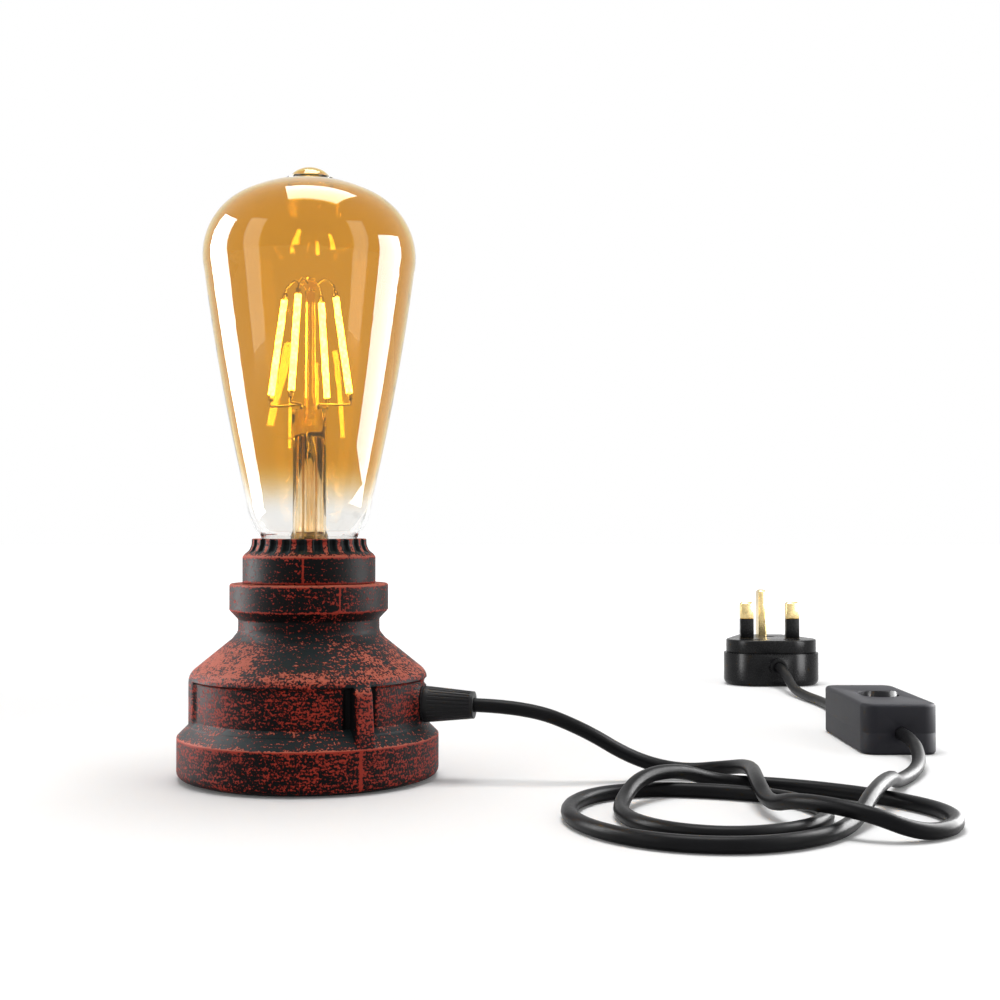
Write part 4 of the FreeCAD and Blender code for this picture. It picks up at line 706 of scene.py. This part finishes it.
def paint_wear(obj):
    """Writes how far each point stands proud, so that the brush leaves paint on edges and not in hollows; the
    bright edges also serve as painted edge highlights.
    """
    bm = bmesh.new()
    bm.from_mesh(obj.data)
    bm.normal_update()
    proud = []
    for vert in bm.verts:
        total, count = 0.0, 0
        for edge in vert.link_edges:
            other = edge.other_vert(vert)
            run = other.co - vert.co
            if run.length > 1e-9:
                total += -vert.normal.dot(run.normalized())
                count += 1
        proud.append(total / max(1, count))
    for _ in range(3):
        spread = list(proud)
        for vert in bm.verts:
            near = [proud[e.other_vert(vert).index] for e in vert.link_edges]
            spread[vert.index] = 0.4 * proud[vert.index] + 0.6 * sum(near) / max(1, len(near))
        proud = spread
    wear_and_highlight = obj.data.attributes.new("wear_and_highlight", "FLOAT", "POINT")
    wear_and_highlight.data.foreach_set("value", [min(1.0, max(0.0, 0.5 + WEAR_RANGE * value)) for value in proud])
    bm.free()


def casting_brushwork_and_light(obj):
    """Where the brush pressed: heavy on the ribs and none in the slots; the shoulder gets more paint on its
    left as a painted highlight, and less on its front.
    """
    wear_and_highlight = obj.data.attributes["wear_and_highlight"].data
    for vert in obj.data.vertices:
        x, y, z = vert.co / MM
        r = math.hypot(x, y)
        angle = math.atan2(y, x)
        ribs, slots = rib_share(angle)
        body = within(z, *BODY_BAND)
        upper = within(z, *SHOULDER_BAND)
        # Painted highlight: more paint on the left of the shoulder, where the light falls.
        left = 1 - step(abs(turn_from(angle, -140.0)), 20.0, 42.0)
        bare = 1 - step(abs(turn_from(angle, -92.0)), 10.0, 34.0)
        change = 0.20 * ribs * (1 if r > 36.2 and z > 13.5 else 0) - 0.9 * body * slots * (1 - ribs)
        if (z < 12.9 or z > 50.9) and r > 23.0:
            change += 0.8 * seam_paint(x, y, SEAM_ANGLE)
        change += upper * (0.22 * left - 0.20 * bare)
        wear_and_highlight[vert.index].value = min(1.2, max(-0.4, wear_and_highlight[vert.index].value + change))


def collar_brushwork(obj, flutes):
    """Red ridges between bare black flutes."""
    wear_and_highlight = obj.data.attributes["wear_and_highlight"].data
    for vert in obj.data.vertices:
        x, y, z = vert.co / MM
        r = math.hypot(x, y)
        if z < 67.2 and r > 19.0:
            wear_and_highlight[vert.index].value += 0.9 * seam_paint(x, y, COLLAR_SEAM_ANGLE)
        if z < 67.9 or r < 16.4:
            continue
        wave = math.cos(flutes * math.atan2(y, x))
        ridge = 1 - step(wave, -0.75, -0.25)
        lip = step(z, 71.9, 72.3)
        share = step(z, 67.9, 68.6)
        change = (0.42 * ridge - 0.75 * (1 - ridge) * (1 - lip)) * share
        wear_and_highlight[vert.index].value = min(1.2, max(-0.6, wear_and_highlight[vert.index].value + change))


# Operators, one for each piece or group of like pieces


class LAMP_OT_stage(bpy.types.Operator):
    """White table, soft studio light and the photograph's camera"""

    bl_idname = "lamp.stage"
    bl_label = "Stage and Camera"

    def execute(self, context):
        scene = context.scene
        scene.view_settings.view_transform = "Standard"
        camera = bpy.data.cameras.new("camera")
        camera.lens = LENS
        camera.sensor_width = 36.0
        camera.clip_start = 0.01
        eye = bpy.data.objects.new("camera", camera)
        eye.location = EYE
        eye.rotation_euler = (math.radians(90 + EYE_PITCH), 0, 0)
        context.collection.objects.link(eye)
        scene.camera = eye

        corners = [(x * TABLE_HALF, y * TABLE_HALF, 0) for x, y in ((-1, -1), (1, -1), (1, 1), (-1, 1))]
        table = make_object("table", corners, [(0, 1, 2, 3)])
        table.data.materials.append(table_white("table_white"))

        world = bpy.data.worlds.new("studio")
        scene.world = world
        world.use_nodes = True
        nodes = Nodes(world.node_tree)
        soft = nodes.tree.nodes["Background"]
        soft.inputs["Color"].default_value = WHITE
        soft.inputs["Strength"].default_value = SOFT_LIGHT
        white = nodes.node("ShaderNodeBackground", Color=WHITE, Strength=1.0)
        mix = nodes.node("ShaderNodeMixShader")
        nodes.link(nodes.seen_rays(), mix.inputs[0])
        nodes.link(soft.outputs[0], mix.inputs[1])
        nodes.link(white.outputs[0], mix.inputs[2])
        nodes.link(mix.outputs[0], nodes.tree.nodes["World Output"].inputs["Surface"])

        for name, place, aim, width, height, power, lights in LIGHTS:
            light = bpy.data.lights.new(name, "AREA")
            light.shape = "RECTANGLE"
            light.size = width
            light.size_y = height
            light.energy = power
            lamp = bpy.data.objects.new(name, light)
            lamp.location = place
            lamp.rotation_euler = (Vector(aim) - Vector(place)).to_track_quat("-Z", "Y").to_euler()
            lamp.visible_camera = False
            lamp.visible_diffuse = lights
            lamp.visible_transmission = lights
            context.collection.objects.link(lamp)
        return {"FINISHED"}


# The cord's two routes, in millimetres, as in the part
CORD_LEAD = [
    (66.5, -11.7, 22.3), (83, -12.4, 16.0), (98, -9.5, 6.6), (112.5, -7.5, 2.6), (125.5, -13, 4.6),
    (130.5, -27, OVER), (128, -51, OVER), (128.5, -66, 3.6), (133, -80, OVER), (146, -95, OVER),
    (160, -96.5, LIE), (172, -86, LIE), (175, -69, LIE), (167, -52, LIE), (153, -37, LIE), (136, -27, LIE),
    (121, -25.5, 2.6), (109, -32, OVER - 0.3), (97, -43, OVER - 0.3), (90, -58, LIE), (90, -76, LIE),
    (98, -91, LIE), (113, -98, LIE), (129, -93, LIE), (141, -80, LIE), (143.5, -62, LIE), (135, -46, LIE),
    (119, -38, LIE), (101, -34.5, LIE), (85, -42, LIE), (76.5, -58, LIE), (76, -77, LIE), (84, -95, LIE),
    (99, -107, LIE), (118, -109, LIE), (135, -100, LIE), (147, -83, LIE), (156, -65, OVER - 0.3),
    (166.5, -43, OVER - 0.3), (173, -24, LIE), (183, -7, LIE), (190, 11, 3.2), (SWITCH_X, 26, SWITCH_CORD_Z),
]
CORD_FLEX = [
    (192.2, 115, SWITCH_CORD_Z), (193, 131, 3.2), (195, 150, LIE), (195, 172, LIE), (192.5, 194, LIE),
    (190.5, 213, 3.2), (PLUG_X, 230, PLUG_CORD_Z - 0.6),
]


class LAMP_OT_cord(bpy.types.Operator):
    """Both free stretches of the cord, from the gland to the switch and on to the plug"""

    bl_idname = "lamp.cord"
    bl_label = "Cord"

    def execute(self, context):
        opts = settings().cord
        sheath = cord_sheath("cord_sheath", opts.sheath)
        out = Vector((math.cos(math.radians(GLAND_ANGLE)), math.sin(math.radians(GLAND_ANGLE)), 0))
        leave = out * GLAND_TIP + Vector((0, 0, GLAND_Z))
        near = (SWITCH_X, SWITCH_Y - SWITCH_HALF, SWITCH_CORD_Z)
        far = (SWITCH_X, SWITCH_Y + SWITCH_HALF, SWITCH_CORD_Z)
        neck = (PLUG_X, PLUG_Y, PLUG_CORD_Z)
        stretches = [
            ("cord_to_switch", [leave, *CORD_LEAD, near], "cord_lead", "object", 0.772,
             ["switch_base", "switch_cover", "switch_screws", "switch_rocker", "switch_cord_ends", "gland_nut",
              "rocker_plunger", "plunger_spring", "seesaw_contact", "common_contact", "fixed_contact",
              "through_link", "core_terminals", "terminal_screws", "live_cores", "neutral_cores"]),
            ("cord_to_plug", [far, *CORD_FLEX, neck], "cord_flex", "plug", 0.1435,
             ["plug_base", "plug_cover", "plug_screws", "earth_pin", "live_pin", "neutral_pin", "pin_sleeves",
              "plug_cord_end", "cord_clamp", "plug_fuse", "fuse_clips"]),
        ]
        for name, points, node, far_end, length, carried in stretches:
            curve = bpy.data.curves.new(name, "CURVE")
            curve.dimensions = "3D"
            curve.resolution_u = 10
            spline = curve.splines.new("NURBS")
            spline.points.add(len(points) - 1)
            for point, place in zip(spline.points, points):
                point.co = (*(Vector(place) * MM), 1.0)
            spline.order_u = 3
            spline.use_endpoint_u = True
            curve.bevel_depth = opts.diameter / 2
            curve.bevel_resolution = 5
            curve.use_fill_caps = True
            cord = bpy.data.objects.new(name, curve)
            context.collection.objects.link(cord)
            finish_piece(cord, "lamp", sheath, node)
        return {"FINISHED"}


def swap(node, body, material, name, sharp, bevel=0.0):
    """A smooth copy of a CAD node takes its place, with its edges broken."""
    obj = recast(node, name, sharp)
    if bevel:
        edge = obj.modifiers.new("edges", "BEVEL")
        edge.width = bevel
        edge.segments = 2
        edge.limit_method = "ANGLE"
        edge.angle_limit = math.radians(35)
        edge.harden_normals = False
        evaluated(obj)
        smooth(obj, 40.0)
    return finish_piece(obj, body, material, node)


class LAMP_OT_casting(bpy.types.Operator):
    """Cast base with its sunk panels, ribs, shoulder, neck and ring, in worn red"""

    bl_idname = "lamp.casting"
    bl_label = "Casting"

    def execute(self, context):
        opts = settings().casting
        path = divided(rounded_path(CASTING_PATH, 5), 1.4)
        casting = ring_of("casting", path, opts.segments, casting_radius, 34.0)
        paint_wear(casting)
        casting_brushwork_and_light(casting)
        finish = worn_red_finish("worn_red", opts, 0.036, CASTING_PAINT_AND_EDGE_LIGHT)
        finish_piece(casting, "lamp", finish, "base_casting")
        steel = plain_metal("zinc_steel", (0.55, 0.55, 0.54), 0.34)
        dress("bottom_plate", steel)
        dress("bottom_screws", steel)
        dress("foot_pad", closed_foam("closed_foam"))
        return {"FINISHED"}


def fluted_tree(flutes, depth, finish):
    """Sinks evenly spaced round-bottomed flutes into a lathe's upper part."""
    tree = bpy.data.node_groups.new("collar_flutes", "GeometryNodeTree")
    face = tree.interface
    face.new_socket("Geometry", in_out="INPUT", socket_type="NodeSocketGeometry")
    for name, value in (("Flutes", flutes), ("Depth", depth), ("Foot", FLUTE_FOOT)):
        face.new_socket(name, in_out="INPUT", socket_type="NodeSocketFloat").default_value = value
    face.new_socket("Geometry", in_out="OUTPUT", socket_type="NodeSocketGeometry")
    n = Nodes(tree)
    entry = n.node("NodeGroupInput")
    parts = n.node("ShaderNodeSeparateXYZ")
    n.link(n.node("GeometryNodeInputPosition").outputs[0], parts.inputs[0])
    x, y, z = parts.outputs
    foot = entry.outputs["Foot"]
    wave = n.math("COSINE", n.math("MULTIPLY", n.math("ARCTAN2", y, x), entry.outputs["Flutes"]))
    above = n.spread(z, foot, n.math("ADD", foot, FLUTE_RUN))
    groove = n.math("MULTIPLY", n.spread(wave, -0.15, 0.95), above)
    flat = n.node("ShaderNodeCombineXYZ")
    n.link(x, flat.inputs["X"])
    n.link(y, flat.inputs["Y"])
    outside = n.spread(n.length(flat.outputs[0]), *FLUTE_REACH)
    sink = n.math("MULTIPLY", groove, n.math("MULTIPLY", outside, entry.outputs["Depth"]))
    away = n.node("ShaderNodeVectorMath", operation="NORMALIZE")
    n.link(flat.outputs[0], away.inputs[0])
    back = n.node("ShaderNodeVectorMath", operation="SCALE")
    n.link(away.outputs[0], back.inputs[0])
    n.link(n.math("MULTIPLY", sink, -1.0), back.inputs["Scale"])
    move = n.node("GeometryNodeSetPosition")
    n.link(entry.outputs["Geometry"], move.inputs["Geometry"])
    n.link(back.outputs[0], move.inputs["Offset"])
    real = n.node("GeometryNodeRealizeInstances")
    n.link(move.outputs[0], real.inputs[0])
    painted = n.node("GeometryNodeSetMaterial", Material=finish)
    n.link(real.outputs[0], painted.inputs["Geometry"])
    n.link(painted.outputs[0], n.node("NodeGroupOutput").inputs[0])
    return tree


COLLAR_PATH = [
    (15.95, 50.9, 0.0), (17.9, 50.9, 0.2), (17.9, 58.85, 0.0), (20.2, 58.85, 0.4), (20.2, 66.9, 0.7),
    (19.5, 67.8, 0.3), (18.15, 68.9, 2.0), (17.45, 70.6, 1.6), (17.35, 72.4, 0.4), (15.6, 72.4, 0.3),
    (15.6, 66.8, 0.0), (15.95, 66.4, 0.0),
]


class LAMP_OT_collar(bpy.types.Operator):
    """Ring that clamps the lampholder, with its fluted flare, and the lampholder's pieces inside"""

    bl_idname = "lamp.collar"
    bl_label = "Fluted Collar"

    def execute(self, context):
        opts = settings().collar
        path = divided(rounded_path(COLLAR_PATH, 4), 0.62)
        collar = ring_of("fluted_collar", path, 720, None, 32.0)
        finish = worn_red_finish("worn_red_collar", settings().casting, 0.020, COLLAR_PAINT_AND_EDGE_LIGHT)
        flutes = collar.modifiers.new("flutes", "NODES")
        flutes.node_group = fluted_tree(float(opts.flutes), opts.flute_depth, finish)
        evaluated(collar)
        outward(collar)
        smooth(collar, 32.0)
        paint_wear(collar)
        collar_brushwork(collar, opts.flutes)
        finish_piece(collar, "lamp", finish, "holder_collar")

        porcelain = glazed_porcelain("porcelain")
        dress("lampholder_body", porcelain)
        dress("lampholder_shell", plain_metal("socket_aluminium", (0.70, 0.70, 0.69), 0.30))
        brass = plain_metal("contact_brass", (0.78, 0.58, 0.27), 0.28)
        for node in ("centre_contact", "side_contact", "holder_nipple", "nipple_nuts"):
            dress(node, brass)
        steel = plain_metal("bracket_zinc", (0.60, 0.60, 0.58), 0.36)
        dress("holder_bracket", steel)
        dress("bracket_screws", steel)
        return {"FINISHED"}


def widen_tip(glass):
    """Fuller sealed tip, with no waist where it leaves the crown."""
    for vert in glass.data.vertices:
        rise = step(vert.co.z / MM, TIP_FOOT_Z - 0.6, TIP_FOOT_Z + 0.8)
        if rise > 0 and math.hypot(vert.co.x, vert.co.y) < TIP_REACH * MM:
            vert.co.x *= 1 + TIP_WIDER * rise
            vert.co.y *= 1 + TIP_WIDER * rise


CAP_PATH = [
    (12.75, 52.0, 0.0), (13.15, 52.0, 0.3), (13.15, 67.4, 0.5), (14.2, 68.6, 0.4), (14.2, 71.4, 0.35),
    (13.7, 71.4, 0.0), (13.7, 69.5, 0.0), (12.15, 69.5, 0.0), (12.75, 67.4, 0.0),
]


def thread_radius(r, z, angle):
    """Radius of the cap with its rolled right-hand thread, plain near both ends."""
    wave = 0.5 - 0.5 * math.cos(2 * math.pi * z / THREAD_PITCH - angle)
    return r - within(z, *THREAD_BAND) * THREAD_DEPTH * wave


class LAMP_OT_bulb(bpy.types.Operator):
    """Tall filament bulb: amber blown glass, clear stem, lit filaments, fine wires and threaded cap"""

    bl_idname = "lamp.bulb"
    bl_label = "Filament Bulb"

    def execute(self, context):
        opts = settings().bulb
        amber = amber_glass("amber_glass", opts)
        glass = swap("bulb_glass", "bulb", amber, "blown_glass", 60.0)
        widen_tip(glass)
        swap("bulb_stem", "bulb", clear_glass("stem_glass"), "stem_glass", 40.0)
        lit = glowing_filament("lit_filament", opts)
        swap("bulb_filaments", "bulb", lit, "filament_sticks", 50.0)
        nickel = plain_metal("nickel_wire", (0.46, 0.42, 0.36), 0.34)
        swap("bulb_wires", "bulb", nickel, "support_wires", 50.0)
        swap("filament_ends", "bulb", nickel, "filament_tabs", 40.0)
        dress("stem_leads", plain_metal("lead_wire", (0.80, 0.58, 0.28), 0.30))
        dress("exhaust_tube", clear_glass("exhaust_glass"))
        dress("led_driver", moulded_plastic("driver_resin", (0.02, 0.02, 0.02), 0.5))
        cap_brass = plain_metal("cap_brass", (0.74, 0.60, 0.36), 0.30)
        cap = ring_of("threaded_cap", divided(rounded_path(CAP_PATH, 3), 0.3), 144, thread_radius, 50.0)
        finish_piece(cap, "bulb", cap_brass, "bulb_cap")
        dress("cap_insulator", moulded_plastic("cap_insulator", (0.010, 0.010, 0.011), 0.35))
        dress("cap_button", plain_metal("solder_button", (0.55, 0.54, 0.51), 0.38))
        return {"FINISHED"}


class LAMP_OT_gland(bpy.types.Operator):
    """Nylon gland in the side of the base, with its ribbed nut"""

    bl_idname = "lamp.gland"
    bl_label = "Cord Gland"

    def execute(self, context):
        nylon = moulded_plastic("black_nylon", (0.010, 0.010, 0.011), 0.42)
        swap("gland_nut", "lamp", nylon, "gland_nut_ribbed", 32.0, 0.00012)
        swap("gland_body", "lamp", nylon, "gland_threaded", 32.0)
        dress("gland_locknut", nylon)
        inner = cord_sheath("cord_tail_sheath", settings().cord.sheath)
        dress("cord_tail", inner)
        dress("switch_cord_ends", inner)
        dress("plug_cord_end", inner)
        brown = moulded_plastic("brown_core", (0.17, 0.070, 0.025), 0.4)
        blue = moulded_plastic("blue_core", (0.015, 0.085, 0.36), 0.4)
        for where in ("wire", "cores"):
            dress("live_" + where, brown)
            dress("neutral_" + where, blue)
        return {"FINISHED"}


class LAMP_OT_switch(bpy.types.Operator):
    """In-line switch: two grained shells with screws, a rocker, and the see-saw contact inside"""

    bl_idname = "lamp.switch"
    bl_label = "Rocker Switch"

    def execute(self, context):
        opts = settings().fittings
        shell = moulded_plastic("switch_shell", opts.switch_body, 0.55)
        swap("switch_base", "lamp", shell, "switch_lower", 30.0, 0.00015)
        swap("switch_cover", "lamp", shell, "switch_upper", 30.0, 0.00015)
        rocker = moulded_plastic("rocker_gloss", (0.012, 0.012, 0.014), 0.24, 1800.0, 0.00002)
        swap("switch_rocker", "rocker", rocker, "rocker", 30.0, 0.0002)
        steel = plain_metal("screw_zinc", (0.62, 0.61, 0.59), 0.30)
        swap("switch_screws", "lamp", steel, "switch_screw_heads", 30.0, 0.00008)
        brass = plain_metal("contact_sheet_brass", (0.78, 0.58, 0.27), 0.28)
        for node in ("seesaw_contact", "common_contact", "fixed_contact", "core_terminals", "through_link"):
            dress(node, brass)
        dress("terminal_screws", steel)
        dress("rocker_plunger", moulded_plastic("plunger_white", (0.62, 0.62, 0.58), 0.4))
        dress("plunger_spring", steel)
        return {"FINISHED"}


class LAMP_OT_plug(bpy.types.Operator):
    """Fused three-pin plug: lobed body, cover screws, sleeved line pins and earth pin"""

    bl_idname = "lamp.plug"
    bl_label = "Plug"

    def execute(self, context):
        opts = settings().fittings
        gloss = moulded_plastic("plug_gloss", opts.plug_body, 0.27, 1500.0, 0.00003)
        swap("plug_base", "lamp", gloss, "plug_front", 30.0, 0.0002)
        swap("plug_cover", "lamp", gloss, "plug_back", 30.0, 0.0002)
        brass = plain_metal("pin_brass", opts.pin_brass, 0.24, 900.0)
        for node in ("earth_pin", "live_pin", "neutral_pin"):
            swap(node, "lamp", brass, node + "_bevelled", 30.0, 0.00035)
        swap("pin_sleeves", "lamp", gloss, "sleeves", 30.0, 0.0002)
        steel = plain_metal("plug_screw_zinc", (0.62, 0.61, 0.59), 0.30)
        swap("plug_screws", "lamp", steel, "plug_screw_heads", 30.0, 0.00008)
        dress("cord_clamp", moulded_plastic("clamp_nylon", (0.02, 0.02, 0.02), 0.5))
        dress("plug_fuse", glazed_porcelain("fuse_ceramic"))
        dress("fuse_clips", brass)
        return {"FINISHED"}


OPERATORS = (
    LAMP_OT_stage, LAMP_OT_gland, LAMP_OT_switch, LAMP_OT_plug, LAMP_OT_cord, LAMP_OT_casting, LAMP_OT_collar,
    LAMP_OT_bulb,
)


class LAMP_PT_panel(bpy.types.Panel):
    """Pieces of the lamp and their settings"""

    bl_idname = "LAMP_PT_panel"
    bl_label = "Pipe Table Lamp"
    bl_space_type = "VIEW_3D"
    bl_region_type = "UI"
    bl_category = "Pipe Lamp"

    def draw(self, context):
        layout = self.layout
        lamp = context.scene.pipe_lamp
        for group in ("casting", "collar", "bulb", "cord", "fittings"):
            box = layout.box()
            box.label(text=group.title())
            part = getattr(lamp, group)
            for key in part.__annotations__:
                box.prop(part, key)
        column = layout.column(align=True)
        for operator in OPERATORS:
            column.operator(operator.bl_idname)


CLASSES = (
    LampCastingSettings, LampCollarSettings, LampBulbSettings, LampCordSettings, LampFittingSettings,
    LampSettings,
    *OPERATORS, LAMP_PT_panel,
)


def register():
    for cls in CLASSES:
        bpy.utils.register_class(cls)
    bpy.types.Scene.pipe_lamp = PointerProperty(type=LampSettings)


def unregister():
    del bpy.types.Scene.pipe_lamp
    for cls in reversed(CLASSES):
        bpy.utils.unregister_class(cls)


def main():
    register()
    bpy.ops.lamp.stage()
    bpy.ops.lamp.gland()
    bpy.ops.lamp.switch()
    bpy.ops.lamp.plug()
    bpy.ops.lamp.cord()
    bpy.ops.lamp.casting()
    bpy.ops.lamp.collar()
    bpy.ops.lamp.bulb()


if __name__ == "__main__":
    main()
